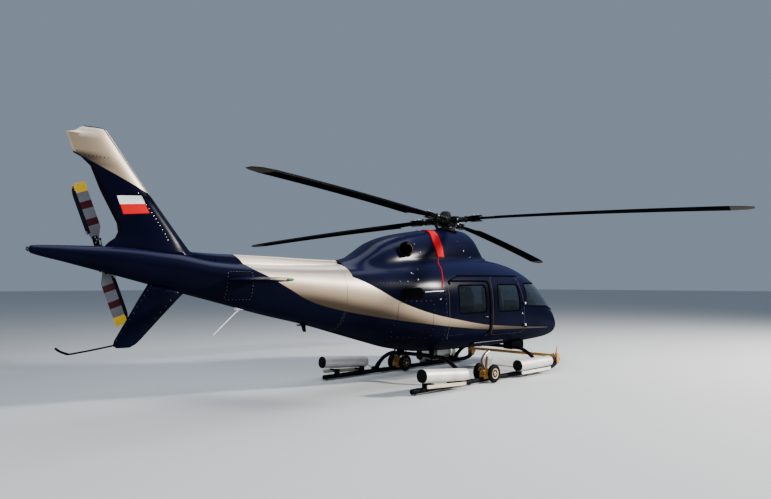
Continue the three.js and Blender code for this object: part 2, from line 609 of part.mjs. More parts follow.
const VENTRAL_FIN = [
  [1950, -5420, -6100, 130],
  [1800, -5545, -6177, 120],
  [1600, -5755, -6300, 105],
  [1365, -5989, -6436, 92],
  [1100, -6245, -6592, 80],
  [1040, -6310, -6608, 72],
  [1000, -6390, -6560, 40],
];
const ventralFin = loft(VENTRAL_FIN.map(([z, lead, trail, thickness]) => lensRing((x, y) => [x, y, z], lead, trail, thickness)));
const TAIL_SKID_RADIUS = 9;
const TAIL_SKID = [[-6540, 0, 1048], [-6765, 0, 1015], [-7003, 0, 984], [-7141, 0, 971], [-7232, 0, 1010], [-7289, 0, 1054]];
const skidSocket = joined(
  tubeAlong(TAIL_SKID, TAIL_SKID_RADIUS + GAP, 8, 10),
  cylinderBetween([-6539.6, 0, 1048], [-6545, 0, 1047.2], TAIL_SKID_RADIUS + GAP, 8),
);
addSolid('ventral_fin', ventralFin.subtract(boomRoom).subtract(skidSocket), 'navy');

// The tail skid is a bent rod let into the foot of the ventral fin.
addSolid('tail_skid', tubeAlong(TAIL_SKID, TAIL_SKID_RADIUS, 8, 10), 'metal');

const STABILISER = [
  [120, -4640, -5160, 95],
  [400, -4660, -5160, 85],
  [1000, -4740, -5170, 68],
  [1400, -4800, -5180, 56],
  [1440, -4860, -5150, 30],
];
const STABILISER_Z = 1880;
for (const [name, side] of SIDES) {
  const wing = loft(STABILISER.map(([out, lead, trail, thickness]) => lensRing(
    (x, z) => [x, side * out, STABILISER_Z + z],
    lead,
    trail,
    thickness,
  )));
  addSolid(`stabiliser_${name}`, wing.subtract(boomRoom), 'navy');
}

// The cover of the tail rotor's drive shaft. Columns: x, half width, top z.
const SHAFT_COVER = [[-5560, 60, 2270], [-5300, 95, 2258], [-4800, 120, 2250], [-4200, 135, 2240], [-3500, 145, 2222], [-2960, 150, 2215]];
const coverRings = SHAFT_COVER.map(([x, half, top]) => [
  [x, -half, 2000], [x, -half, 2090], [x, -half * 0.86, top - 55], [x, -half * 0.5, top - 12], [x, 0, top],
  [x, half * 0.5, top - 12], [x, half * 0.86, top - 55], [x, half, 2090], [x, half, 2000],
]);
const shaftCover = loft(coverRings)
  .subtract(boomRoom)
  .subtract(bodyBetween(rearStations, -CUT_GAP, BODY_POINTS))
  .subtract(loft(FIN.slice(0, 5).map(([z, lead, trail, thickness]) => lensRing((x, y) => [x, y, z], lead + 2, trail, thickness + 2))));
addSolid('driveshaft_cover', shaftCover, 'champagne');

// Tail rotor, in a group at its hub; the gearbox stands on the boom's left side.
const [tailX, tailY, tailZ] = TAIL_ROTOR_CENTRE;
const gearbox = joined(
  cylinderBetween([tailX, 60, tailZ], [tailX, tailY - 75, tailZ], 95, 16, 70),
  cylinderBetween([tailX, tailY - 80, tailZ], [tailX, tailY - 48, tailZ], 40, 14),
);
addSolid('tail_gearbox', gearbox.subtract(boomRoom).subtract(verticalFin.translate(0, 0.5, 0)), 'metal');

const tailRotor = new THREE.Group();
tailRotor.position.set(tailX, tailY, tailZ);
body.add(tailRotor);
const tailHub = joined(
  cylinderBetween([0, -48 + GAP, 0], [0, 60, 0], 32, 14),
  boxBetween([-50, -26, -150], [50, 26, 150]),
  cylinderBetween([0, 20, 0], [0, 95, 0], 55, 14, 38),
);
const tailHubTurned = tailHub.rotate(0, -TAIL_BLADE_LEAN, 0);
addSolid('tail_rotor_hub', tailHubTurned, 'metal', tailRotor);
const TAIL_BLADE = [[150.5, 60, 2.2], [260, 120, 1.4], [360, TAIL_BLADE_CHORD, 1.1], [900, TAIL_BLADE_CHORD, 0.9], [950, 170, 0.8], [TAIL_ROTOR_RADIUS, 120, 0.7]];
const tailBlade = loft(TAIL_BLADE.map(([radius, chord, thickness]) => sectionRing(chord, thickness).map(([u, v]) => [u - chord * 0.4, v, radius])));
[0, 180].forEach((turn, i) => {
  addSolid(`tail_blade_${i + 1}`, tailBlade.rotate(0, turn, 0).rotate(0, -TAIL_BLADE_LEAN, 0), 'tailBlade', tailRotor);
});

// Interior
const FLOOR = SILL_Z + GAP;
addSolid('instrument_panel', sidePrism([[2440, FLOOR], [2380, 1180], [2250, 1420], [2560, 1440], [2800, 1180], [2800, FLOOR]], -420, 420), 'trim');
const seatOutline = (x) => [
  [x + 60, FLOOR], [x + 60, 1010], [x, 1040], [x - 60, 1480], [x - 90, 1760], [x + 10, 1760],
  [x + 60, 1500], [x + 110, 1170], [x + 560, 1190], [x + 580, 1060], [x + 500, 1020], [x + 480, FLOOR],
];
for (const [name, side] of SIDES) {
  addSolid(`front_seat_${name}`, sidePrism(seatOutline(1080), side * 370 - 240, side * 370 + 240), 'leather');
}
addSolid('rear_seat', sidePrism(seatOutline(-750), -640, 640), 'leather');

// Landing gear
const SKID_TOP_Z = SKID_Z + SKID_RADIUS;
const SKID_REAR_X = -2230;
const TOE_START_X = 1900;
const SKID_PATH = [
  [SKID_REAR_X, SKID_Z], [-1000, SKID_Z], [600, SKID_Z], [TOE_START_X, SKID_Z],
  [2120, SKID_Z + 20], [2280, SKID_Z + 78], [2400, SKID_Z + 168],
];
const SKID_SIDES = 8;
const skidTube = (side, radius) => tubeAlong(SKID_PATH.map(([x, z]) => [x, side * SKID_Y, z]), radius, SKID_SIDES, 16);
const skidRoom = (side) => skidTube(side, SKID_RADIUS + GAP);

const bellyRoom = bodyBetween(straightStations, -CUT_GAP, BODY_POINTS);
for (const [name, x] of Object.entries(CROSSTUBES)) {
  const half = [[x, 0, 478], [x, 620, 462], [x, 860, 370], [x, 1010, 240], [x, SKID_Y - 6, SKID_TOP_Z + 20]];
  const path = [...half.slice(1).toReversed().map(([px, y, z]) => [px, -y, z]), ...half];
  let tube = tubeAlong(path, CROSSTUBE_RADIUS, 8, 14);
  for (const [, side] of SIDES) {
    const y = side * SKID_Y;
    const shoe = boxBetween([x - 80, y - 34, SKID_TOP_Z - 30], [x + 80, y + 34, SKID_TOP_Z + 45]);
    const saddle = boxBetween([x - 55, side * 420 - 60, 470], [x + 55, side * 420 + 60, 640]);
    tube = joined(tube, shoe, saddle).subtract(skidRoom(side));
  }
  addSolid(`crosstube_${name}`, tube.subtract(bellyRoom), 'black');
}

// Columns: rear and front end of each wear shoe under a skid tube.
const WEAR_SHOES = [[-2150, -1500], [-700, 300], [1100, 1850]];
for (const [name, side] of SIDES) {
  const y = side * SKID_Y;
  const shoes = WEAR_SHOES.map(([rear, front]) => boxBetween([rear, y - 26, 0], [front, y + 26, SKID_Z - 30]));
  addSolid(`skid_${name}`, joined(skidTube(side, SKID_RADIUS), ...shoes), 'metal');
}

// Stowed emergency floats on the outer side of each skid. Columns: name, rear x, front x, rise of the rear end.
const FLOATS = [['front', 610, 1800, 0], ['rear', -2150, -1000, 80]];
const FLOAT_RADIUS = 112;
const FLOAT_Y = SKID_Y + 150;
const FLOAT_Z = 240;
for (const [where, rear, front, rise] of FLOATS) {
  for (const [name, side] of SIDES) {
    const axis = [front - rear, 0, -rise];
    const length = Math.hypot(...axis);
    const pack = turned(
      [[0, 0], [FLOAT_RADIUS - 25, 0], [FLOAT_RADIUS, 30], [FLOAT_RADIUS, length - 30], [FLOAT_RADIUS - 25, length], [0, length]],
      [rear, side * FLOAT_Y, FLOAT_Z + rise],
      axis,
      16,
    );
    const plate = boxBetween([rear + 60, side * FLOAT_Y - 60, 92], [front - 60, side * FLOAT_Y + 60, 126]);
    const hangers = [0.22, 0.78].map((share) => {
      const x = rear + (front - rear) * share;
      const z = FLOAT_Z + rise * (1 - share);
      return joined(
        boxBetween([x - 25, side * SKID_Y - 30, SKID_TOP_Z - 20], [x + 25, side * SKID_Y + 30, z]),
        boxBetween([x - 25, side * FLOAT_Y - 50, 100], [x + 25, side * FLOAT_Y + 50, z]),
        boxBetween([x - 25, side * (SKID_Y + 75) - 75, 150], [x + 25, side * (SKID_Y + 75) + 75, 185]),
      );
    });
    addSolid(`float_${where}_${name}`, joined(pack, plate, ...hangers).subtract(skidRoom(side)), 'silver');
  }
}

// Ground handling: twin wheels on one axle, in a frame clamped to each skid.
const WHEEL_Z = WHEEL_RADIUS + WHEEL_CLEARANCE;
for (const [name, side] of SIDES) {
  const y = side * SKID_Y;
  const clamp = boxBetween([WHEEL_X - 150, y - 60, SKID_Z + 10], [WHEEL_X + 150, y + 60, WHEEL_Z + 60]);
  const arm = tubeAlong([[WHEEL_X - 60, y, WHEEL_Z + 40], [WHEEL_X - 150, y, 400], [WHEEL_X - 60, y, 520], [WHEEL_X + 60, y, 570]], 16, 6, 8);
  const lever = cylinderBetween([WHEEL_X + 60, y, WHEEL_Z + 50], [WHEEL_X + 230, y, 420], 12, 6);
  const axleRoom = cylinderBetween([WHEEL_X, y - 200, WHEEL_Z], [WHEEL_X, y + 200, WHEEL_Z], AXLE_RADIUS + 0.5, 16);
  addSolid(`handling_frame_${name}`, joined(clamp, arm, lever).subtract(skidRoom(side)).subtract(axleRoom), 'yellow');

  const wheel = (offset) => turned(
    [[0, -30], [62, -34], [75, -22], [WHEEL_RADIUS - 22, -WHEEL_WIDTH / 2], [WHEEL_RADIUS, -WHEEL_WIDTH / 2 + 18],
      [WHEEL_RADIUS, WHEEL_WIDTH / 2 - 18], [WHEEL_RADIUS - 22, WHEEL_WIDTH / 2], [75, 22], [62, 34], [0, 30]],
    [WHEEL_X, y + offset, WHEEL_Z],
    [0, 1, 0],
    12,
  );
  const axle = cylinderBetween([WHEEL_X, y - WHEEL_OFFSET, WHEEL_Z], [WHEEL_X, y + WHEEL_OFFSET, WHEEL_Z], AXLE_RADIUS, 16);
  addSolid(`handling_wheels_${name}`, joined(wheel(-WHEEL_OFFSET), wheel(WHEEL_OFFSET), axle), 'tyre');
}

// The beam that joins the two skid toes, with a clamp at each end.
const BEAM_X = 2300;
const BEAM_Z = 285;
let beam = boxBetween([BEAM_X - 30, -SKID_Y - 40, BEAM_Z - 30], [BEAM_X + 30, SKID_Y + 40, BEAM_Z + 30]);
for (const [, side] of SIDES) {
  const y = side * SKID_Y;
  const jaw = boxBetween([BEAM_X - 60, y - 62, 120], [BEAM_X + 50, y + 62, BEAM_Z + 60]);
  const spike = cylinderBetween([BEAM_X + 10, y, BEAM_Z], [BEAM_X + 60, y, 490], 26, 8, 6);
  beam = joined(beam, jaw, spike).subtract(skidRoom(side));
}
addSolid('tow_beam', beam, 'yellow');

// Centre the whole on X = 0 by the reach of the stinger behind and the foremost blade ahead.
const box = new THREE.Box3().setFromObject(group, true);
body.position.x = -(box.min.x + box.max.x) / 2;

export default group;
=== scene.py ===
import json
import math
from contextlib import contextmanager

import bmesh
import bpy
import numpy as np
from bpy.props import FloatProperty, FloatVectorProperty, PointerProperty
from mathutils import Matrix, Vector


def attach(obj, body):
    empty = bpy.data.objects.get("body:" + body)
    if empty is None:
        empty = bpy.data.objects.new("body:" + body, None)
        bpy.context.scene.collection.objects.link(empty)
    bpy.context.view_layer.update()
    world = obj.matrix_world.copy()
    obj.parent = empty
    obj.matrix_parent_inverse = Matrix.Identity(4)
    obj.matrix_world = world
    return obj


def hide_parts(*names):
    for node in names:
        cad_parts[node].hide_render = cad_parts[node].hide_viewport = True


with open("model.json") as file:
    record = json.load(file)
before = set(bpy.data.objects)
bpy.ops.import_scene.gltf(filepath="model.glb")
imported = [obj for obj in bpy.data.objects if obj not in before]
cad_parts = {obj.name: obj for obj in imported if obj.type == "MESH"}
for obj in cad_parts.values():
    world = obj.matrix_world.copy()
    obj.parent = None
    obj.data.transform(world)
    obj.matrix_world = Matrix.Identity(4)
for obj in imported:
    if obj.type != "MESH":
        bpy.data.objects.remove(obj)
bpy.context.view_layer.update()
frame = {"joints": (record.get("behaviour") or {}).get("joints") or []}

bl_info = {
    "name": "Parked light helicopter",
    "version": (1, 0, 0),
    "blender": (4, 5, 0),
    "location": "3D Viewport > Sidebar > Helicopter",
    "description": "Dresses a light helicopter on skids round its packed frame",
    "category": "Object",
}

# The frame, and the places that everything is measured from
JOINTS = {joint["name"]: joint for joint in frame["joints"]}
ROTOR_CENTRE = Vector(JOINTS["main_rotor_spin"]["pos_m"])
MAST_AXIS = Vector(JOINTS["main_rotor_spin"]["axis"]).normalized()
TAIL_ROTOR_CENTRE = Vector(JOINTS["tail_rotor_spin"]["pos_m"])
MAST_X = ROTOR_CENTRE.x               # tables below give x from the mast, in metres
SIDES = (("right", -1), ("left", 1))

SILL_Z = 0.800
BULKHEAD_X = -0.950
BOOM_JOINT_X = -3.090
NOSE_DECK_X = 2.850
NOSE_DECK_Z = 1.020
COWLING_SPLIT_X = -0.350
SEAM = 0.0003                         # gap between pieces that touch
WALL = 0.045
GLASS = 0.006
GLASS_INSET = 0.008
FAR = 9.0

# Columns: x, lowest z, highest z, half width, z of the widest point, fullness above, fullness below
BODY = (
    (-7.610, 2.195, 2.268, 0.034, 2.235, 2.0, 2.0),
    (-7.560, 2.176, 2.280, 0.052, 2.230, 2.0, 2.0),
    (-7.200, 2.085, 2.292, 0.095, 2.195, 2.0, 2.0),
    (-6.600, 1.930, 2.300, 0.150, 2.130, 2.1, 2.0),
    (-5.900, 1.745, 2.255, 0.205, 2.030, 2.2, 2.0),
    (-5.200, 1.565, 2.150, 0.255, 1.925, 2.3, 2.0),
    (-4.400, 1.355, 2.120, 0.330, 1.820, 2.4, 2.0),
    (-3.600, 1.170, 2.130, 0.430, 1.730, 2.4, 2.0),
    (-2.900, 0.980, 2.160, 0.545, 1.640, 2.4, 2.1),
    (-2.200, 0.790, 2.230, 0.665, 1.520, 2.5, 2.2),
    (-1.600, 0.640, 2.290, 0.760, 1.400, 2.6, 2.4),
    (-0.950, 0.550, 2.320, 0.825, 1.280, 2.7, 2.7),
    (0.200, 0.530, 2.330, 0.840, 1.250, 2.8, 2.9),
    (1.000, 0.530, 2.310, 0.835, 1.240, 2.7, 2.9),
    (1.600, 0.530, 2.235, 0.820, 1.220, 2.6, 2.8),
    (2.100, 0.540, 2.100, 0.790, 1.160, 2.5, 2.7),
    (2.450, 0.550, 1.955, 0.752, 1.100, 2.4, 2.6),
    (2.750, 0.560, 1.775, 0.705, 1.030, 2.3, 2.5),
    (3.050, 0.575, 1.520, 0.635, 0.960, 2.2, 2.4),
    (3.300, 0.600, 1.285, 0.535, 0.900, 2.1, 2.3),
    (3.500, 0.645, 1.105, 0.405, 0.865, 2.1, 2.1),
    (3.620, 0.715, 0.985, 0.260, 0.850, 2.0, 2.0),
    (3.670, 0.800, 0.890, 0.080, 0.845, 2.0, 2.0),
)
COWLING = (
    (-2.950, 1.700, 2.205, 0.250, 2.000, 2.0, 2.0),
    (-2.600, 1.700, 2.290, 0.350, 2.020, 2.2, 2.0),
    (-2.350, 1.700, 2.420, 0.420, 2.040, 2.3, 2.0),
    (-2.100, 1.700, 2.565, 0.465, 2.050, 2.3, 2.0),
    (-1.800, 1.700, 2.670, 0.490, 2.050, 2.3, 2.0),
    (-1.300, 1.700, 2.770, 0.505, 2.060, 2.4, 2.0),
    (-0.650, 1.700, 2.860, 0.490, 2.080, 2.4, 2.0),
    (-0.100, 1.700, 2.900, 0.450, 2.100, 2.3, 2.0),
    (0.250, 1.700, 2.905, 0.405, 2.100, 2.3, 2.0),
    (0.480, 1.700, 2.885, 0.370, 2.100, 2.2, 2.0),
    (0.680, 1.700, 2.795, 0.330, 2.100, 2.2, 2.0),
    (0.880, 1.700, 2.605, 0.275, 2.100, 2.1, 2.0),
    (1.080, 1.700, 2.420, 0.190, 2.100, 2.0, 2.0),
    (1.230, 1.700, 2.300, 0.090, 2.100, 2.0, 2.0),
)

# Side-view outlines of [x, z], as on the frame
FRONT_DOOR = ((0.450, 0.810), (0.450, 1.950), (1.440, 1.950), (1.560, 1.450), (1.600, 0.810))
SLIDING_DOOR = ((-0.880, 0.8003), (-0.880, 1.880), (0.330, 1.880), (0.330, 0.8003))
FRONT_WINDOW = ((0.640, 1.270), (0.640, 1.800), (1.400, 1.800), (1.430, 1.270))
SLIDING_WINDOW = ((-0.600, 1.270), (-0.600, 1.790), (0.230, 1.790), (0.230, 1.270))
WINDSHIELD = (
    (1.690, 1.355), (1.683, 1.825), (3.400, 1.840), (3.750, 1.130), (3.150, 1.130), (2.600, 1.320),
)
COWLING_EDGE = ((BULKHEAD_X, 2.100), (-1.800, 1.940), (-2.950, 1.990), (-3.000, 2.400))
DOOR_GAP = 0.005
DOOR_CORNER = 0.090
WINDOW_CORNER = 0.080
WINDSHIELD_CORNER = 0.040
CENTRE_POST = 0.035


# Curves and skins

class Columns:
    """A table whose columns are joined by monotone cubic curves, so that no value overshoots."""

    def __init__(self, rows):
        table = np.array(rows, float)
        self.xs, self.ys = table[:, 0], table[:, 1:]
        self.steps = np.diff(self.xs)
        slopes = np.diff(self.ys, axis=0) / self.steps[:, None]
        self.tangents = np.zeros_like(self.ys)
        self.tangents[0], self.tangents[-1] = slopes[0], slopes[-1]
        for i in range(1, len(self.xs) - 1):
            before, after = slopes[i - 1], slopes[i]
            near = 2 * self.steps[i] + self.steps[i - 1]
            far = self.steps[i] + 2 * self.steps[i - 1]
            same = before * after > 0
            blend = near / np.where(same, before, 1) + far / np.where(same, after, 1)
            self.tangents[i] = np.where(same, (near + far) / blend, 0)

    def __call__(self, x):
        x = np.asarray(x, float)
        i = np.clip(np.searchsorted(self.xs, x) - 1, 0, len(self.xs) - 2)
        t = np.clip((x - self.xs[i]) / self.steps[i], 0, 1)[..., None]
        step = self.steps[i][..., None]
        low, high = self.ys[i], self.ys[i + 1]
        value = (2 * t**3 - 3 * t**2 + 1) * low + (3 * t**2 - 2 * t**3) * high
        value = value + (
            (t**3 - 2 * t**2 + t) * self.tangents[i] + (t**3 - t**2) * self.tangents[i + 1]
        ) * step
        return np.moveaxis(value, -1, 0)


BODY_SKIN = Columns(BODY)
COWLING_SKIN = Columns(COWLING)
FILLET = 0.075                        # how softly the cowling runs into the body


def level_in(skin, points):
    """How far each point lies outside a skin, roughly in metres and negative inside."""
    x, y, z = np.moveaxis(np.asarray(points, float), -1, 0)
    low, high, half, wide, upper, lower = skin(x)
    above = z > wide
    power = np.where(above, upper, lower)
    rise = np.where(above, high - wide, wide - low)
    reach = ((np.abs(y) / half) ** power + (np.abs(z - wide) / rise) ** power) ** (1 / power)
    return (reach - 1) * np.minimum(half, rise)


def body_level(points):
    return level_in(BODY_SKIN, points)


def upper_level(points):
    """The body with the cowlings melted into it by a soft fillet."""
    body = body_level(points)
    cowling = level_in(COWLING_SKIN, points)
    mix = np.clip(0.5 + 0.5 * (cowling - body) / FILLET, 0, 1)
    return cowling + (body - cowling) * mix - FILLET * mix * (1 - mix)


def gradient(level, points):
    """The outward direction of a level function at each point."""
    step = 1e-4
    parts = []
    for axis in range(3):
        offset = np.zeros(3)
        offset[axis] = step
        parts.append(level(points + offset) - level(points - offset))
    normal = np.stack(parts, -1)
    return normal / np.maximum(np.linalg.norm(normal, axis=-1, keepdims=True), 1e-12)


def body_ring(x, inset=0.0, count=112):
    low, high, half, wide, upper, lower = BODY_SKIN(x)
    angle = 2 * np.pi * (np.arange(count) + 0.5) / count
    c, s = np.cos(angle), np.sin(angle)
    power = 2 / np.where(s > 0, upper, lower)
    rise = np.maximum(np.where(s > 0, high - wide, wide - low) - inset, 0.004)
    y = max(half - inset, 0.004) * np.sign(c) * np.abs(c) ** power
    return np.stack([np.full(count, x), y, wide + rise * np.sign(s) * np.abs(s) ** power], -1)


def upper_ring(x, level, centre_z=1.9, count=160, reach=1.6):
    """A ring of points where rays from (x, 0, centre_z) leave the level function's solid."""
    angle = 2 * np.pi * (np.arange(count) + 0.5) / count
    way = np.stack([np.zeros(count), np.cos(angle), np.sin(angle)], -1)
    start = np.array([x, 0.0, centre_z])
    near, far = np.zeros(count), np.full(count, reach)
    for _ in range(34):
        middle = (near + far) / 2
        inside = level(start + way * middle[:, None]) < 0
        near = np.where(inside, middle, near)
        far = np.where(inside, far, middle)
    return start + way * near[:, None]


def side_y(x, z):
    """Half width of the body at a side-view point."""
    low, high, half, wide, upper, lower = BODY_SKIN(x)
    above = z > wide
    power = np.where(above, upper, lower)
    share = np.where(above, (z - wide) / (high - wide), (wide - z) / (wide - low))
    return half * np.maximum(1 - np.clip(share, 0, 1) ** power, 0) ** (1 / power)


def upper_y(x, z, reach=1.2):
    """Half width of the body with its cowling at a side-view point."""
    near, far = 0.0, reach
    for _ in range(30):
        middle = (near + far) / 2
        inside = upper_level(np.array([x, middle, z])) < 0
        near, far = (middle, far) if inside else (near, middle)
    return near


def steps(start, end, spacing):
    return np.linspace(start, end, max(2, int(round(abs(end - start) / spacing)) + 1))


# Meshes

def linked(name, data):
    """A new object of the scene that shows a mesh, light or camera."""
    thing = bpy.data.objects.new(name, data)
    bpy.context.scene.collection.objects.link(thing)
    return thing


def add_mesh(name, points, faces, materials=()):
    """A mesh object from points in metres from the mast, in one named finish or several."""
    mesh = bpy.data.meshes.new(name)
    moved = np.asarray(points, float).reshape(-1, 3) + (MAST_X, 0, 0)
    mesh.from_pydata(moved.tolist(), [], [list(face) for face in faces])
    mesh.update()
    for material in [materials] if isinstance(materials, str) else materials:
        mesh.materials.append(finish(material))
    return linked(name, mesh)


@contextmanager
def edited(mesh):
    """Opens a mesh for editing and writes it back."""
    work = bmesh.new()
    work.from_mesh(mesh)
    yield work
    work.to_mesh(mesh)
    work.free()


def smooth_edges(thing, angle=35.0):
    thing.data.shade_smooth()
    thing.data.set_sharp_from_angle(angle=math.radians(angle))
    return thing


def tidy_mesh(thing, angle=35.0):
    """Outward faces, no doubles, smooth but for edges sharper than the angle."""
    with edited(thing.data) as work:
        bmesh.ops.remove_doubles(work, verts=work.verts, dist=1e-6)
        bmesh.ops.recalc_face_normals(work, faces=work.faces)
    return smooth_edges(thing, angle)


def loft(name, rings, materials=(), loop=False, angle=35.0):
    """A skin through rings of the same number of points, closed by caps or on itself."""
    rings = np.asarray(rings, float)
    rows, count = rings.shape[:2]
    faces = []
    for row in range(rows if loop else rows - 1):
        a, b = row * count, (row + 1) % rows * count
        faces += [(a + i, a + (i + 1) % count, b + (i + 1) % count, b + i) for i in range(count)]
    if not loop:
        faces += [tuple(range(count))[::-1], tuple(range((rows - 1) * count, rows * count))]
    return tidy_mesh(add_mesh(name, rings.reshape(-1, 3), faces, materials), angle)


def unit(vectors):
    return vectors / np.maximum(np.linalg.norm(vectors, axis=-1, keepdims=True), 1e-12)


def carried_ups(tangents):
    """Directions square to a path that turn with it as little as they can."""
    start = np.array([0.0, 0.0, 1.0]) if abs(tangents[0][2]) < 0.9 else np.array([1.0, 0.0, 0.0])
    ups = []
    for tangent in tangents:
        start = unit(start - tangent * start.dot(tangent))
        ups.append(start)
    return np.array(ups)


def sweep(name, path, section, materials=(), ups=None, sizes=None, loop=False, angle=35.0):
    """Runs a section of [across, up] points along a path; ups point out of what it lies on."""
    path = np.asarray(path, float)
    spans = np.roll(path, -1, 0) - np.roll(path, 1, 0)
    tangents = unit(spans if loop else np.gradient(path, axis=0))
    if ups is None:
        ups = carried_ups(tangents)
    else:
        ups = unit(ups - tangents * np.einsum("ij,ij->i", ups, tangents)[:, None])
    across = np.cross(tangents, ups)
    sizes = np.ones(len(path)) if sizes is None else np.asarray(sizes, float)
    section = np.asarray(section, float)
    rings = path[:, None] + across[:, None] * section[None, :, :1] * sizes[:, None, None]
    rings = rings + ups[:, None] * section[None, :, 1:] * sizes[:, None, None]
    return loft(name, rings, materials, loop, angle)


def circle(radius, sides=12, start=0.0):
    """Points [x, y] round a circle; start turns them by a share of their spacing."""
    angle = 2 * np.pi * (np.arange(sides) + start) / sides
    return np.stack([radius * np.cos(angle), radius * np.sin(angle)], -1)


def around(count, reach, first=0.0):
    """Places [x, y] evenly about the middle, the first at an angle in degrees."""
    return circle(reach, count, first / 360 * count)


def hoop(radius, count, height=0.0):
    """Points of a flat ring about Z."""
    return np.insert(circle(radius, count), 2, height, axis=1)


def squared(points, power):
    """Pushes points of a unit circle towards a square's corners."""
    return np.sign(points) * np.abs(points) ** power


def rounded_section(wide, high, power=0.35, count=24):
    """A rounded oblong section."""
    return squared(circle(1.0, count, 0.5), power) * (wide / 2, high / 2)


def rotation(degrees, axis):
    return Matrix.Rotation(math.radians(degrees), 4, axis)


def bead(width, height, sink=0.002):
    """The section of a rubber or metal strip that lies on a surface."""
    w = width / 2
    return (
        (-w, -sink), (-w, height * 0.6), (-w * 0.6, height), (w * 0.6, height), (w, height * 0.6),
        (w, -sink),
    )


def strip(width, thickness):
    """The section of a flat ribbon or strap."""
    w, t = width / 2, thickness / 2
    return ((-w, -t), (w, -t), (w, t), (-w, t))


def curve(points, spacing=0.02):
    """A smooth line through points, with the ends kept."""
    points = np.asarray(points, float)
    if len(points) == 2:
        return points[0] + (points[1] - points[0]) * np.linspace(0, 1, 2)[:, None]
    run = np.concatenate([[0], np.cumsum(np.linalg.norm(np.diff(points, axis=0), axis=1))])
    rows = Columns(np.column_stack([run, points]))
    return rows(steps(0, run[-1], spacing)).T


def tube(name, points, radius, materials=(), sides=14, spacing=0.02, sizes=None):
    return sweep(name, curve(points, spacing), circle(radius, sides), materials, sizes=sizes)


def rod(start, end, radius, materials=(), end_radius=None, sides=20, chamfer=0.0, name="rod"):
    """A straight round bar, tapered and chamfered where asked."""
    start, end = np.asarray(start, float), np.asarray(end, float)
    last = radius if end_radius is None else end_radius
    way = unit(end - start) * chamfer
    if not chamfer:
        return sweep(name, [start, end], circle(1.0, sides), materials, sizes=[radius, last])
    path = [start, start + way, end - way, end]
    sizes = [radius - chamfer, radius, last, last - chamfer]
    return sweep(name, path, circle(1.0, sides), materials, sizes=sizes)


def evenly(points, spacing, closed=False):
    """Points a set distance apart along a straight-sided line."""
    points = np.asarray(points, float)
    if closed:
        points = np.vstack([points, points[:1]])
    run = np.concatenate([[0], np.cumsum(np.linalg.norm(np.diff(points, axis=0), axis=1))])
    count = max(2, int(round(run[-1] / spacing)) + 1)
    at = np.linspace(0, run[-1], count)
    at = at[:-1] if closed else at
    return np.stack([np.interp(at, run, points[:, k]) for k in range(points.shape[1])], -1)


def on_side(
    outline, side, radius=0.0, spacing=0.03, closed=False, out=0.0, width_at=side_y, level=body_level
):
    """Puts a side-view line on the skin; returns its points and their outward directions."""
    flat = [tuple(p) for p in rounded(outline, radius)] if radius else outline
    flat = evenly(flat, spacing, closed)
    points = np.array([(x, side * width_at(x, z), z) for x, z in flat])
    ups = gradient(level, points)
    return points + ups * out, ups


def trim(name, outline, side, section, material, radius=0.0, closed=False, **places):
    """A strip along a side-view line on the skin."""
    points, ups = on_side(outline, side, radius, closed=closed, **places)
    return sweep(name, points, section, material, ups, loop=closed)


def studs(name, points, ups, radius, height, material, sides=8):
    """Low round heads, as one mesh, sunk a little at their rims."""
    corners, faces = [], []
    for point, up in zip(np.asarray(points, float), unit(np.asarray(ups, float))):
        across = unit(np.cross(up, (0.31, 0.95, 0.07)))
        along = np.cross(up, across)
        start = len(corners)
        for share, level in ((1.0, -0.15), (1.0, 0.45), (0.62, 1.0)):
            for x, y in circle(radius * share, sides):
                corners.append(point + across * x + along * y + up * level * height)
        for row in (0, sides):
            for i in range(sides):
                a, b = start + row + i, start + row + (i + 1) % sides
                faces.append((a, b, b + sides, a + sides))
        faces.append(tuple(start + 2 * sides + i for i in range(sides)))
        faces.append(tuple(start + i for i in range(sides))[::-1])
    return tidy_mesh(add_mesh(name, corners, faces, material), 50)


def bevelled(work, edges, width, segments):
    bmesh.ops.bevel(work, geom=edges, offset=width, segments=segments, profile=0.5, affect="EDGES")


def rounded_block(name, low, high, radius, material, segments=3):
    """A block with rounded edges."""
    thing = block(low, high, material, name)
    with edited(thing.data) as work:
        bevelled(work, work.edges[:], radius, segments)
    return smooth_edges(thing, 40)


def plate(name, outline, start_y, end_y, material, radius=0.0, bevel=0.0):
    """A side-view outline with a thickness across, and softened edges."""
    thing = prism(outline, start_y, end_y, radius, material, name)
    if bevel:
        with edited(thing.data) as work:
            sharp = [edge for edge in work.edges if edge.calc_face_angle(0) > math.radians(35)]
            bevelled(work, sharp, bevel, 2)
    return smooth_edges(thing)


def moved(thing, matrix):
    """Turns or moves a piece whose points are measured from the mast's foot."""
    back = Matrix.Translation((-MAST_X, 0, 0))
    thing.data.transform(Matrix.Translation((MAST_X, 0, 0)) @ matrix @ back)
    return thing


def rounded(outline, radius, cuts=6):
    """An outline of [u, v] points with its corners rounded."""
    points = [Vector(p) for p in outline]
    result = []
    for i, corner in enumerate(points):
        before, after = points[i - 1] - corner, points[(i + 1) % len(points)] - corner
        reach = min(radius, before.length * 0.45, after.length * 0.45)
        if reach <= 0:
            result.append(corner)
            continue
        start, end = corner + before.normalized() * reach, corner + after.normalized() * reach
        for k in range(cuts + 1):
            t = k / cuts
            result.append(start * (1 - t) ** 2 + corner * (2 * t * (1 - t)) + end * t**2)
    return result


def grown(outline, by):
    """Moves each point of an outline away from its middle."""
    us, vs = [p[0] for p in outline], [p[1] for p in outline]
    middle = ((min(us) + max(us)) / 2, (min(vs) + max(vs)) / 2)
    return [tuple(p[k] + math.copysign(by, p[k] - middle[k]) for k in (0, 1)) for p in outline]


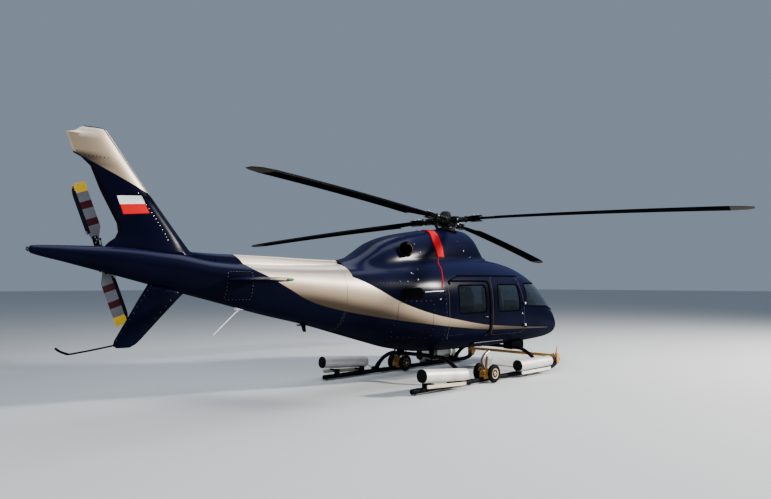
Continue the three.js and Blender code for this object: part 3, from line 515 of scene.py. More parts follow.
def prism(outline, start_y, end_y, radius=0.0, materials=(), name="cutter"):
    """A side-view outline run across from start_y to end_y."""
    points = rounded(outline, radius) if radius else [Vector(p) for p in outline]
    count = len(points)
    solid = [(p.x, y, p.y) for y in (start_y, end_y) for p in points]
    faces = [(i, (i + 1) % count, count + (i + 1) % count, count + i) for i in range(count)]
    faces += [tuple(range(count))[::-1], tuple(range(count, 2 * count))]
    return tidy_mesh(add_mesh(name, solid, faces, materials))


def block(low, high, materials=(), name="cutter"):
    (x0, y0, z0), (x1, y1, z1) = low, high
    points = [(x, y, z) for x in (x0, x1) for y in (y0, y1) for z in (z0, z1)]
    faces = [(0, 1, 3, 2), (4, 6, 7, 5), (0, 4, 5, 1), (2, 3, 7, 6), (0, 2, 6, 4), (1, 5, 7, 3)]
    return tidy_mesh(add_mesh(name, points, faces, materials))


def settled(thing):
    """Applies an object's modifiers."""
    depsgraph = bpy.context.evaluated_depsgraph_get()
    mesh = bpy.data.meshes.new_from_object(thing.evaluated_get(depsgraph))
    thing.modifiers.clear()
    old, thing.data = thing.data, mesh
    bpy.data.meshes.remove(old)
    return thing


def carved(thing, *cutters, operation="DIFFERENCE", keep=False):
    """Cuts, joins or intersects a solid with others, which are removed unless kept."""
    for cutter in cutters:
        modifier = thing.modifiers.new("carve", "BOOLEAN")
        modifier.solver = "MANIFOLD"
        modifier.operation = operation
        modifier.object = cutter
        settled(thing)
        if not keep:
            discard(cutter)
    return thing


def discard(*things):
    for thing in things:
        mesh = thing.data
        bpy.data.objects.remove(thing)
        bpy.data.meshes.remove(mesh)


def copy_of(thing, name):
    return linked(name, thing.data.copy())


def mirrored(thing, name):
    """The same piece on the other side, made by turning its mesh over."""
    twin = copy_of(thing, name)
    twin.data.transform(Matrix.Scale(-1, 4, (0, 1, 0)))
    twin.data.flip_normals()
    return twin


def joined(name, things):
    """Several objects as one mesh."""
    work = bmesh.new()
    materials = []
    for thing in things:
        places = []
        for material in thing.data.materials:
            if material not in materials:
                materials.append(material)
            places.append(materials.index(material))
        start = len(work.faces)
        work.from_mesh(thing.data)
        work.faces.ensure_lookup_table()
        for face in work.faces[start:]:
            face.material_index = places[face.material_index] if places else 0
    mesh = bpy.data.meshes.new(name)
    work.to_mesh(mesh)
    work.free()
    for material in materials:
        mesh.materials.append(material)
    discard(*things)
    return linked(name, mesh)


def points_of(thing):
    flat = np.empty(len(thing.data.vertices) * 3)
    thing.data.vertices.foreach_get("co", flat)
    return flat.reshape(-1, 3) - (MAST_X, 0, 0)


def polished(thing, level, near=0.004):
    """Gives the outer skin the exact directions of its level function, so that gloss runs true."""
    mesh = thing.data
    points = points_of(thing)
    true_normals = gradient(level, points)
    on_skin = np.abs(level(points)) < near
    loops = len(mesh.loops)
    corner_vertex = np.empty(loops, int)
    mesh.loops.foreach_get("vertex_index", corner_vertex)
    corner_normal = np.array([n.vector for n in mesh.corner_normals])
    face_normal = np.repeat(
        np.array([face.normal for face in mesh.polygons]),
        [face.loop_total for face in mesh.polygons],
        axis=0,
    )
    wanted = true_normals[corner_vertex]
    facing = np.einsum("ij,ij->i", face_normal, wanted) > 0.85
    chosen = np.where((facing & on_skin[corner_vertex])[:, None], wanted, corner_normal)
    mesh.normals_split_custom_set(chosen.tolist())
    return thing


def fitted(thing, body, slot, *nodes):
    """Puts a finished piece on its body and hides the nodes that it stands for; the slot is not used."""
    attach(thing, body)
    if nodes:
        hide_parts(*nodes)
    return thing


# Shader expressions

class Field:
    """A socket that adds Math nodes when it is used in an expression."""

    def __init__(self, paint, socket):
        self.paint, self.socket = paint, socket

    def maths(self, operation, *values):
        return self.paint.field("ShaderNodeMath", {"operation": operation}, values)

    def __add__(self, other):
        return self.maths("ADD", self, other)

    def __radd__(self, other):
        return self.maths("ADD", other, self)

    def __sub__(self, other):
        return self.maths("SUBTRACT", self, other)

    def __rsub__(self, other):
        return self.maths("SUBTRACT", other, self)

    def __mul__(self, other):
        return self.maths("MULTIPLY", self, other)

    def __rmul__(self, other):
        return self.maths("MULTIPLY", other, self)

    def __truediv__(self, other):
        return self.maths("DIVIDE", self, other)

    def __abs__(self):
        return self.maths("ABSOLUTE", self)

    def rise(self, low, high):
        """0 below low and 1 above high, with a soft step between."""
        settings = {"interpolation_type": "SMOOTHSTEP", "clamp": True}
        return self.paint.field("ShaderNodeMapRange", settings, (self, low, high, 0.0, 1.0))


class Paint:
    """A material being mixed: its nodes, and the shader they feed."""

    def __init__(self, name, **values):
        self.material = bpy.data.materials.new(name)
        self.material.use_nodes = True
        self.tree = self.material.node_tree
        self.tree.nodes.clear()
        self.shader = self.node("ShaderNodeBsdfPrincipled")
        output = self.node("ShaderNodeOutputMaterial")
        self.tree.links.new(self.shader.outputs[0], output.inputs["Surface"])
        for socket, value in values.items():
            self.set(socket.replace("_", " "), value)

    def node(self, kind, settings=None, values=()):
        """Adds a node, sets its settings, then gives its sockets values or links."""
        made = self.tree.nodes.new(kind)
        for key, value in (settings or {}).items():
            if key == "curve":
                curve = made.mapping.curves[0]
                made.mapping.use_clip = False
                while len(curve.points) < len(value):
                    curve.points.new(0.5, 0.5)
                for point, place in zip(curve.points, value):
                    point.location = place
                    point.handle_type = "AUTO_CLAMPED"
                made.mapping.update()
            else:
                setattr(made, key, value)
        pairs = values.items() if isinstance(values, dict) else enumerate(values)
        for key, value in pairs:
            self.feed(made.inputs[key], value)
        return made

    def feed(self, socket, value):
        if isinstance(value, Field):
            self.tree.links.new(value.socket, socket)
        elif isinstance(value, (tuple, list)) and len(socket.default_value) == 4:
            socket.default_value = (*value[:3], 1)
        else:
            socket.default_value = value

    def field(self, kind, settings=None, values=(), output=0):
        return Field(self, self.node(kind, settings, values).outputs[output])

    def set(self, socket, value):
        self.feed(self.shader.inputs[socket], value)

    def place(self):
        """The x from the mast, y and z of the point being shaded."""
        coordinates = self.field("ShaderNodeTexCoord", output=3)
        split = self.node("ShaderNodeSeparateXYZ", None, (coordinates,))
        x, y, z = (Field(self, socket) for socket in split.outputs)
        return coordinates, x - MAST_X, y, z

    def noise(self, coordinates, scale, detail=2.0, roughness=0.5):
        values = {"Vector": coordinates, "Scale": scale, "Detail": detail, "Roughness": roughness}
        return self.field("ShaderNodeTexNoise", None, values)

    def mix(self, share, first, second):
        """A colour between first and second."""
        made = self.node("ShaderNodeMix", {"data_type": "RGBA"})
        for key, value in {"Factor": share, "A": first, "B": second}.items():
            socket = next(s for s in made.inputs if s.name == key and s.enabled)
            self.feed(socket, value)
        return Field(self, next(s for s in made.outputs if s.enabled))

    def bump(self, height, strength=0.2, distance=0.002):
        values = {"Strength": strength, "Distance": distance, "Height": height}
        self.set("Normal", self.field("ShaderNodeBump", None, values))


# Finishes

def settings():
    return bpy.context.scene.helicopter_finish


CURVE_SPAN = (-5.2, 3.8)              # the x range that the stripe's edge curves cover


def edge_curve(paint, x, points):
    """Follows a side-view line z(x) through the points."""
    low, high = CURVE_SPAN
    placed = [((px - low) / (high - low), pz) for px, pz in points]
    share = (x - low) / (high - low)
    return paint.field("ShaderNodeFloatCurve", {"curve": placed}, {"Value": share})


# Side-view lines of [x, z] that bound the champagne sweep
SWEEP_TOP = (
    (-3.30, 2.060), (-3.10, 1.980), (-2.82, 1.884), (-2.46, 1.718), (-2.07, 1.528), (-1.78, 1.420),
    (-1.39, 1.305), (-1.02, 1.222), (-0.60, 1.151), (-0.14, 1.076), (0.31, 1.017), (0.69, 0.987),
    (1.64, 0.922), (2.72, 0.858),
)
SWEEP_FOOT = (
    (-5.00, 2.330), (-4.84, 2.185), (-4.73, 2.061), (-4.43, 1.913), (-4.12, 1.745), (-3.72, 1.545),
    (-3.28, 1.420), (-2.72, 1.308), (-2.02, 1.194), (-1.13, 1.074), (-0.58, 1.012), (0.33, 0.931),
    (1.46, 0.889), (2.72, 0.848),
)
SWEEP_END_X = 2.70
COWLING_END_X = -2.95
PAINT_EDGE = 0.004                    # softness of a masked paint edge


def sweep_mask(paint, x, y, z):
    """1 on the champagne sweep that runs from the boom to the nose."""
    top = edge_curve(paint, x, SWEEP_TOP)
    foot = edge_curve(paint, x, SWEEP_FOOT)
    below_top = (top - z).rise(-PAINT_EDGE, PAINT_EDGE)
    on_boom = (COWLING_END_X - x).rise(-PAINT_EDGE, PAINT_EDGE)
    above_foot = (z - foot).rise(-PAINT_EDGE, PAINT_EDGE)
    ahead = (x - SWEEP_FOOT[0][0]).rise(0, PAINT_EDGE)
    behind = (SWEEP_END_X - x).rise(0, PAINT_EDGE)
    upper = paint.field("ShaderNodeMath", {"operation": "MAXIMUM"}, (below_top, on_boom))
    return upper * above_foot * ahead * behind


# Painted shade of the champagne on faces that look down.
CHAMPAGNE_UNDERSIDE_SHADE = (0.050, 0.036, 0.025)
# Painted shade of the champagne in a band on faces that look half up.
CHAMPAGNE_SHOULDER_SHADE = (0.20, 0.17, 0.15)


def gloss_paint(name, mask=None, spots=None):
    """Metallic navy under clear coat, with a painted sky reflection on its upward faces; champagne where the
    mask says, with painted shade on its upright, downward and half-up faces; and flat coloured spots.
    """
    paint = Paint(name, Coat_Roughness=0.20, Coat_IOR=1.45, IOR=1.3, Specular_IOR_Level=0.0)
    where, x, y, z = paint.place()
    flake = paint.noise(where, 900.0, 1.0)
    drift = paint.noise(where, 0.8, 2.0)
    dust = paint.noise(where, 5.0, 5.0, 0.6)
    navy, navy_light = settings().navy, settings().navy_light
    normal = paint.field("ShaderNodeTexCoord", output=1)
    slope = Field(paint, paint.node("ShaderNodeSeparateXYZ", None, (normal,)).outputs[2])
    dark = paint.mix(drift.rise(0.35, 0.7), tuple(navy), tuple(navy_light))
    # Painted reflection: faces that look up take a bluer navy, for the sky mirrored in the clear coat.
    dark = paint.mix(slope.rise(0.10, 0.95), dark, tuple(settings().navy_upper))
    light = paint.mix(flake.rise(0.3, 0.7), tuple(settings().champagne), tuple(settings().champagne_light))
    # Painted shade: the champagne is darker on upright faces than on faces that look up.
    light = paint.mix(slope.rise(-0.05, 0.32), tuple(settings().champagne_low), light)
    # Painted shade: champagne on faces that look down turns dark brown.
    light = paint.mix(slope.rise(-0.26, 0.06), CHAMPAGNE_UNDERSIDE_SHADE, light)
    # Painted shade: a darker band where the champagne looks half up, as in the shade under the shaft cover's
    # ledge.
    shoulder = slope.rise(0.46, 0.66) * (1 - slope.rise(0.74, 0.86))
    light = paint.mix(shoulder * 0.75, light, CHAMPAGNE_SHOULDER_SHADE)
    colour, metal, rough = dark, flake * 0.02, 0.24 + dust * 0.10
    if mask is not None:
        on = mask(paint, x, y, z)
        colour = paint.mix(on, dark, light)
        metal = metal + on * 0.55
        rough = rough + on * 0.10
    for share, flat in spots(paint, x, y, z) if spots else ():
        colour = paint.mix(share, colour, flat)
        metal = metal * (1 - share)
    paint.set("Coat Weight", 0.04 + slope.rise(-0.05, 0.70) * 0.26)
    paint.set("Base Color", colour)
    paint.set("Metallic", metal)
    paint.set("Roughness", rough)
    paint.bump(paint.noise(where, 55.0, 2.0), 0.008, 0.001)
    return paint.material


FINISHES = {}


def finish(name):
    """The material of that name, made when first asked for."""
    if name not in FINISHES:
        FINISHES[name] = GLOSSY[name]() if name in GLOSSY else plain_paint(*PLAIN[name])
    return FINISHES[name]


def plain_paint(name, colour, roughness, metallic=0.0, extras=None):
    """An even finish with fine grain, slight colour drift and an uneven sheen."""
    extras = extras or {}
    dull = max(colour) < 0.03 and metallic < 0.5
    specular = extras.get("specular", 0.04 if dull else 0.5)
    paint = Paint(name, Metallic=metallic, Specular_IOR_Level=specular, Coat_Weight=extras.get("coat", 0.0))
    where, *_ = paint.place()
    drift = paint.noise(where, 3.0, 4.0, 0.6)
    fine = paint.noise(where, extras.get("grain", 60.0), 3.0)
    darker = tuple(c * 0.72 for c in colour)
    paint.set("Base Color", paint.mix(drift.rise(0.3, 0.75), colour, darker))
    paint.set("Roughness", roughness - 0.06 + fine * 0.12 + drift * extras.get("wear", 0.0))
    paint.bump(fine, 0.12, 0.0006)
    return paint.material


def hull_spots(paint, x, y, z):
    """The black post between the doors and the dark seam of the boom joint."""
    start, end = (x - POST[0]).rise(-0.002, 0.002), (POST[1] - x).rise(-0.002, 0.002)
    post = start * end * (z - SILL_Z).rise(0, 0.002) * (POST_TOP - z).rise(0, 0.002)
    joint = 1 - abs(x - BOOM_JOINT_X).rise(0.002, 0.004)
    return ((post, (0.004, 0.004, 0.005)), (joint, (0.05, 0.045, 0.04)))


def glass():
    paint = Paint(
        "tinted_acrylic",
        Roughness=0.02,
        IOR=1.50,
        Transmission_Weight=1.0,
        Base_Color=(0.30, 0.34, 0.40),
    )
    return paint.material


def cover_mask(paint, x, y, z):
    """Champagne from the sweep's rear edge forward."""
    foot = edge_curve(paint, x, SWEEP_FOOT)
    return (z - foot).rise(-PAINT_EDGE, PAINT_EDGE) * (x - SWEEP_FOOT[0][0]).rise(0, PAINT_EDGE)


def cover_spots(paint, x, y, z):
    """The dark seam along the top of the shaft cover."""
    return ((1 - abs(y).rise(0.006, 0.009), (0.008, 0.008, 0.010)),)


def stabiliser_mask(paint, x, y, z):
    return (abs(y) - 1.345).rise(-PAINT_EDGE, PAINT_EDGE)


# Finishes with nodes of their own
GLOSSY = {
    "livery": lambda: gloss_paint("hull_livery", sweep_mask, hull_spots),
    "navy": lambda: gloss_paint("navy_gloss"),
    "fin_livery": lambda: gloss_paint("fin_livery", fin_mask, fin_spots),
    "cover_livery": lambda: gloss_paint("cover_livery", cover_mask, cover_spots),
    "stabiliser_livery": lambda: gloss_paint("stabiliser_livery", stabiliser_mask),
    "glass": glass,
}
# Even finishes: the material's name, colour, roughness, metallic share, and what else differs
PLAIN = {
    "seal": ("seal_rubber", (0.002, 0.002, 0.003), 0.6, 0.0, dict(grain=120, specular=0.0)),
    "black": ("satin_black", (0.003, 0.003, 0.004), 0.5, 0.0, dict(specular=0.0)),
    "lining": ("cabin_lining", (0.30, 0.27, 0.23), 0.85, 0.0, dict(grain=200)),
    "metal": ("dull_metal", (0.32, 0.32, 0.33), 0.38, 0.9),
    "pale_metal": ("pale_metal", (0.62, 0.63, 0.66), 0.35, 0.7),
    # Pale metal heads: painted glints on the skin's and the fin's fasteners, and the switch caps' own colour.
    "bright": ("bright_heads", (0.60, 0.60, 0.60), 0.30, 0.6),
    "rivet": ("rivet_heads", (0.09, 0.095, 0.115), 0.4, 0.5),
    "chrome": ("polished_metal", (0.62, 0.62, 0.64), 0.15, 1.0),
    "hub_metal": ("hub_metal", (0.007, 0.007, 0.008), 0.50, 0.15, dict(specular=0.08)),
    "gearbox": ("gearbox_grey", (0.12, 0.13, 0.14), 0.45, 0.3),
    "blade": ("blade_black", (0.003, 0.003, 0.004), 0.5, 0.0, dict(wear=0.1, specular=0.0)),
    "blade_tip": ("blade_tip_brown", (0.022, 0.017, 0.014), 0.5, 0.0, dict(wear=0.1)),
    "erosion": ("erosion_strip", (0.008, 0.008, 0.010), 0.45, 0.2, dict(wear=0.1)),
    # The tail blades' grey is darker than their light grey paint: painted shade, as their faces turn away
    # from the light.
    "tail_grey_shaded": ("tail_blade_grey", (0.13, 0.135, 0.155), 0.5, 0.0, dict(wear=0.1)),
    "tail_red": ("tail_blade_red", (0.045, 0.003, 0.008), 0.5, 0.0, dict(wear=0.1, specular=0.2)),
    "tail_yellow": ("tail_blade_yellow", (0.82, 0.48, 0.006), 0.45, 0.0, dict(wear=0.1)),
    "copper_steel": ("heat_browned_steel", (0.85, 0.45, 0.26), 0.45, 0.3, dict(wear=0.2)),
    "soot": ("soot", (0.003, 0.0025, 0.0025), 0.9),
    "black_steel": ("sooted_steel", (0.008, 0.006, 0.006), 0.5, 0.2),
    "red_cloth": ("red_cover_cloth", (0.50, 0.004, 0.012), 0.85, 0.0, dict(grain=260, specular=0.05)),
    "red_dark": ("red_piping", (0.26, 0.004, 0.008), 0.85, 0.0, dict(grain=260, specular=0.05)),
    "white": ("white_enamel", (0.84, 0.84, 0.82), 0.35),
    "red_lens": ("red_lens", (0.30, 0.01, 0.01), 0.12, 0.0, dict(coat=1.0)),
    "green_lens": ("green_lens", (0.01, 0.20, 0.05), 0.12, 0.0, dict(coat=1.0)),
    "leather": ("tan_leather", (0.30, 0.22, 0.15), 0.5, 0.0, dict(grain=340)),
    "webbing": ("dark_webbing", (0.02, 0.02, 0.022), 0.85, 0.0, dict(grain=420)),
    "dial": ("dial_face", (0.006, 0.006, 0.007), 0.2, 0.0, dict(coat=1.0)),
    "gear_black": ("gear_black", (0.004, 0.004, 0.006), 0.5, 0.0, dict(wear=0.15)),
    "silver": ("silver_cover_cloth", (0.66, 0.65, 0.61), 0.42, 0.4, dict(grain=200, wear=0.15)),
    # The floats' end faces are dark: painted shade on faces that turn away from the light.
    "cap_cloth": ("dark_cap_cloth", (0.006, 0.006, 0.0065), 0.7, 0.0, dict(grain=200)),
    "flap": ("pale_flap", (0.62, 0.55, 0.40), 0.6, 0.0, dict(wear=0.1)),
    "tyre": ("tyre_rubber", (0.008, 0.008, 0.008), 0.8, 0.0, dict(grain=150)),
    "hub_cream": ("cream_hub", (0.62, 0.47, 0.24), 0.5, 0.0, dict(wear=0.2)),
    "hub_rust": ("rusty_hub", (0.13, 0.065, 0.035), 0.6, 0.3, dict(wear=0.2)),
    "rust": ("worn_brown", (0.16, 0.075, 0.03), 0.55, 0.3, dict(wear=0.2)),
    "yellow": ("worn_yellow", (0.44, 0.20, 0.018), 0.45, 0.0, dict(wear=0.2)),
    "tail_edge": ("tail_blade_edge", (0.006, 0.007, 0.012), 0.45),
}


# Hull pieces

POD_STATIONS = np.concatenate([
    steps(BULKHEAD_X + SEAM, 2.8, 0.035),
    steps(2.83, 3.5, 0.025)[1:],
    np.array([3.52, 3.54, 3.56, 3.58, 3.60, 3.62, 3.635, 3.65, 3.66, 3.67]),
])


def nose_dome(ring, count=4, length=0.016):
    """Small rings that close the nose's last ring into a dome."""
    middle = ring.mean(axis=0)
    rings = []
    for k in range(1, count + 1):
        turn = math.pi / 2 * k / (count + 0.3)
        shrunk = middle + (ring - middle) * math.cos(turn)
        shrunk[:, 0] = ring[0, 0] + length * math.sin(turn)
        rings.append(shrunk)
    return rings


def pod_solid(name, inset=0.0, front=None, rear=0.0):
    """The whole cabin pod as one closed solid."""
    stations = [x for x in POD_STATIONS if front is None or x < front]
    if rear:
        stations[0] -= rear
    rings = [body_ring(x, inset) for x in stations]
    if front is None:
        rings += nose_dome(rings[-1])
    return loft(name, rings)


def painted(thing, *materials):
    """Gives a solid its materials, all faces in the first."""
    thing.data.materials.clear()
    for material in materials:
        thing.data.materials.append(finish(material))
    thing.data.polygons.foreach_set("material_index", [0] * len(thing.data.polygons))
    return thing


def lined(thing, depth=0.010):
    """Faces that lie deeper than the depth under the body's skin take the second material."""
    for face in thing.data.polygons:
        centre = np.array(face.center) - (MAST_X, 0, 0)
        if body_level(centre) < -depth:
            face.material_index = 1
    return thing


def side_range(side, near=0.2):
    return (near, 1.2) if side > 0 else (-1.2, -near)


def skin_piece(thing, node, level=body_level, paint="livery"):
    """Paints a piece of skin, gives it true directions and puts it on the airframe for its node."""
    fitted(polished(smooth_edges(painted(thing, paint)), level), "airframe", "navy_paint", node)


def side_copy(thing, side, name):
    return mirrored(thing, name) if side > 0 else copy_of(thing, name)


class HELI_OT_hull(bpy.types.Operator):
    """Build the belly, nose, cabin frame, doors and glazing"""

    bl_idname = "heli.hull"
    bl_label = "Hull and doors"

    def execute(self, context):
        outer = pod_solid("outer")
        inner = pod_solid("inner", WALL, front=3.45, rear=0.2)

        belly = carved(copy_of(outer, "belly"), block((-2, -2, 0), (5, 2, SILL_Z)), operation="INTERSECT")
        skin_piece(belly, "lower_fuselage")

        nose_low, nose_high = (NOSE_DECK_X, -2, SILL_Z + SEAM), (5, 2, NOSE_DECK_Z)
        nose = carved(copy_of(outer, "nose"), block(nose_low, nose_high), operation="INTERSECT")
        skin_piece(nose, "nose_cone")

        shell = carved(copy_of(outer, "shell"), inner)
        above_sill = block((-2, -2, SILL_Z + SEAM), (5, 2, 3))
        cabin = carved(copy_of(shell, "cabin_shell"), above_sill, operation="INTERSECT")
        cutters = [block((NOSE_DECK_X - SEAM, -2, 0), (5, 2, NOSE_DECK_Z + SEAM))]
        for name, side in SIDES:
            for outline in (FRONT_DOOR, SLIDING_DOOR):
                cutters.append(prism(grown(outline, DOOR_GAP), *side_range(side), DOOR_CORNER))
            cutters.append(prism(WINDSHIELD, *side_range(side, CENTRE_POST), WINDSHIELD_CORNER))
        carved(cabin, *cutters)
        lined(smooth_edges(painted(cabin, "livery", "lining")))
        fitted(polished(cabin, body_level), "airframe", "navy_paint", "cabin_frame")

        pane_outer = pod_solid("pane_outer", GLASS_INSET)
        pane_inner = pod_solid("pane_inner", GLASS_INSET + GLASS, front=3.6, rear=0.01)
        pane_skin = carved(pane_outer, pane_inner)
        doors = (
            ("front_door", FRONT_DOOR, "front_window", FRONT_WINDOW, "front_door"),
            ("sliding_door", SLIDING_DOOR, "sliding_window", SLIDING_WINDOW, None),
        )
        start, end = side_range(-1)
        for door, outline, window, opening, moving in doors:
            room = prism(outline, start, end, DOOR_CORNER)
            panel = carved(copy_of(shell, door), room, operation="INTERSECT")
            carved(panel, prism(opening, start, end, WINDOW_CORNER))
            lined(smooth_edges(painted(panel, "livery", "lining")))
            pane = prism(grown(opening, -SEAM), start, end, WINDOW_CORNER)
            light = carved(copy_of(pane_skin, window), pane, operation="INTERSECT")
            smooth_edges(painted(light, "glass"))
            for name, side in SIDES:
                body = f"{name}_front_door" if moving else "airframe"
                for thing, slot in ((panel, "navy_paint"), (light, "cabin_glass")):
                    node = f"{thing.name}_{name}"
                    twin = side_copy(thing, side, f"{node}_skin")
                    fitted(polished(twin, body_level, GLASS_INSET + 0.002), body, slot, node)
            discard(panel, light)
        pane = prism(grown(WINDSHIELD, -SEAM), *side_range(-1, CENTRE_POST + SEAM), WINDSHIELD_CORNER)
        screen = carved(copy_of(pane_skin, "screen"), pane, operation="INTERSECT")
        smooth_edges(painted(screen, "glass"))
        for name, side in SIDES:
            twin = side_copy(screen, side, f"windshield_{name}_skin")
            polished(twin, body_level, GLASS_INSET + 0.002)
            fitted(twin, "airframe", "cabin_glass", f"windshield_{name}")
        discard(outer, shell, pane_skin, screen)
        return {"FINISHED"}


REAR_STATIONS = steps(BOOM_JOINT_X + SEAM, BULKHEAD_X - SEAM, 0.035)
BOOM_STATIONS = steps(-7.58, BOOM_JOINT_X - SEAM, 0.035)
# The room round the mast as [radius, height from the rotor's centre]
MAST_HOLE = ((0.067, -0.400), (0.067, -0.255), (0.230, -0.255), (0.230, 0.200))


class HELI_OT_tail_boom(bpy.types.Operator):
    """Build the rear fuselage and the boom with its stinger"""

    bl_idname = "heli.tail_boom"
    bl_label = "Rear fuselage and boom"

    def execute(self, context):
        rear = loft("rear_shell", [body_ring(x) for x in REAR_STATIONS])
        far_edge = [(-3.0, 3.2), (BULKHEAD_X + 0.2, 3.2), (BULKHEAD_X + 0.2, COWLING_EDGE[0][1])]
        carved(rear, prism([*COWLING_EDGE, *far_edge], -FAR, FAR))
        skin_piece(rear, "rear_fuselage")

        tip = BODY[0][0]
        rings = [body_ring(x, count=80) for x in BOOM_STATIONS]
        cap = []
        for share in (0.25, 0.55, 0.8, 0.95, 0.999):
            ring = body_ring(tip + 0.03 * (1 - share), count=80)
            middle = ring.mean(axis=0)
            cap.insert(0, middle + (ring - middle) * math.sqrt(1 - share**2))
        boom = loft("boom_skin", [*cap, *rings])
        painted(boom, "livery")
        fitted(polished(boom, body_level, 0.0005), "airframe", "champagne_paint", "tail_boom")
        return {"FINISHED"}


class HELI_OT_cowlings(bpy.types.Operator):
    """Build the engine cowling and the mast cowling, melted into the body"""

    bl_idname = "heli.cowlings"
    bl_label = "Cowlings"

    def execute(self, context):
        roof = loft("roof", [body_ring(x, -0.0005) for x in steps(BULKHEAD_X - 0.0005, 2.8, 0.035)])
        mast_rings = [upper_ring(x, upper_level) for x in steps(COWLING_SPLIT_X, 1.36, 0.02)]
        mast = carved(loft("mast_cowling_skin", mast_rings), roof, keep=True)
        carved(mast, placed_on_rotor(turned("hole", MAST_HOLE, 48)))
        skin_piece(mast, "mast_cowling", upper_level, "navy")

        engine_rings = [upper_ring(x, upper_level) for x in steps(-2.95, COWLING_SPLIT_X - SEAM, 0.03)]
        engine = loft("engine_cowling_skin", engine_rings)
        lower = [*COWLING_EDGE[:3], (-3.2, 1.99), (-3.2, 0.0), (0.0, 0.0), (0.0, COWLING_EDGE[0][1])]
        carved(engine, prism(lower, -FAR, FAR), roof, *engine_openings())
        skin_piece(engine, "engine_cowling", upper_level, "navy")
        return {"FINISHED"}


def turned(name, profile, sides=32, materials=()):
    """A round solid about Z from [radius, height] points."""
    return loft(name, [hoop(r, sides, h) for r, h in profile if r > 0], materials)


def placed_on_rotor(thing, turn=0.0):
    """Moves a piece made about the rotor's centre onto the leaning mast, turned by some degrees."""
    lean = Vector((0, 0, 1)).rotation_difference(MAST_AXIS).to_matrix().to_4x4()
    return moved(thing, Matrix.Translation((0, 0, ROTOR_CENTRE.z)) @ lean @ rotation(turn, "Z"))


# Trim of the cabin

POST = (0.335, 0.445)                 # the black post between the doors runs over this x range
POST_TOP = 1.875
HINGES = ((1.600, 0.950), (1.572, 1.400))
HINGE_STANDOFF = 0.028
PIN_RADIUS = 0.009
PIN_PLAY = 0.0008
KNUCKLE_RADIUS = 0.018
UPPER_SEAL = ((-0.890, 1.868), (0.352, 1.868), (0.352, 0.830))
GUTTER = ((-0.560, 1.968), (0.500, 1.976), (1.480, 1.974))
GUTTER_END = ((-0.800, 1.886), (-0.700, 1.912), (-0.575, 1.946))
VENT_LIP = ((-1.481, 1.676), (-1.250, 1.684), (-1.016, 1.690))
FRONT_DOOR_BODY = "{}_front_door"
LOUVRE_AREA = ((-2.060, 1.560), (-1.990, 1.730), (-1.560, 1.745), (-1.500, 1.640), (-1.560, 1.550))


def hinge_frame():
    """The place and turn of each right-hand hinge: forward, inboard and up."""
    points = [Vector((x, -side_y(x, z) - HINGE_STANDOFF, z)) for x, z in HINGES]
    up = (points[1] - points[0]).normalized()
    forward = (Vector((1, 0, 0)) - up * up.x).normalized()
    inboard = up.cross(forward)
    turn = Matrix((forward, inboard, up)).transposed().to_4x4()
    return [Matrix.Translation(point) @ turn for point in points]


def hinge_parts(moving):
    """The fixed lugs with their pins, or the door's knuckles, at both hinges."""
    parts = []
    for frame_of_hinge in hinge_frame():
        if moving:
            # The barrel is left without a finish, so it shows in plain pale grey
            barrel = rod((0, 0, -0.0035), (0, 0, 0.036), KNUCKLE_RADIUS, sides=28, chamfer=0.002)
            arm = rounded_block("arm", (-0.075, -0.010, 0.001), (-0.004, 0.012, 0.031), 0.003, "navy")
            foot = rounded_block("foot", (-0.075, 0.000, 0.001), (-0.025, 0.052, 0.031), 0.003, "navy")
            for part in (barrel, arm):
                carved(part, rod((0, 0, -0.02), (0, 0, 0.06), PIN_RADIUS + PIN_PLAY, sides=24))
        else:
            barrel = rod((0, 0, -0.040), (0, 0, -0.004), KNUCKLE_RADIUS, "navy", sides=28, chamfer=0.002)
            arm = rounded_block("arm", (0.000, -0.010, -0.036), (0.075, 0.012, -0.008), 0.003, "navy")
            foot = rounded_block("foot", (0.022, 0.000, -0.036), (0.075, 0.052, -0.008), 0.003, "navy")
            pin = rod((0, 0, -0.041), (0, 0, 0.038), PIN_RADIUS, "hub_metal", sides=24, chamfer=0.002)
            parts.append(moved(pin, frame_of_hinge))
        parts += [moved(part, frame_of_hinge) for part in (barrel, arm, foot)]
    return joined("hinge", parts)


def both_sides(make, slot, name, node=None, body="airframe"):
    """Makes a right-hand piece and its mirror image, each on its body and for its node."""
    right = make(f"{name}_right")
    right.name = f"{name}_right"
    left = mirrored(right, f"{name}_left")
    for thing, (side, _) in zip((right, left), SIDES):
        nodes = [f"{node}_{side}"] if node else []
        fitted(thing, body.format(side), slot, *nodes)
    return right, left


def handle(name, x, z):
    """A flush door handle: a dished surround, a paddle and a lock button."""
    points, ups = on_side([(x - 0.07, z), (x + 0.07, z)], -1, spacing=0.02)
    surround = sweep("surround", points, bead(0.052, 0.003), "black", ups)
    paddle = sweep("paddle", points[1:-2] + ups[1:-2] * 0.004, bead(0.026, 0.008), "hub_metal", ups[1:-2])
    lock = studs("lock", points[-2:-1] + ups[-2:-1] * 0.003, ups[-2:-1], 0.010, 0.004, "chrome", 16)
    return joined(name, [surround, paddle, lock])


def window_seal(outline, radius, width=0.026):
    wide = grown(outline, 0.004)
    return lambda name: trim(name, wide, -1, bead(width, 0.006, 0.012), "seal", radius, True)


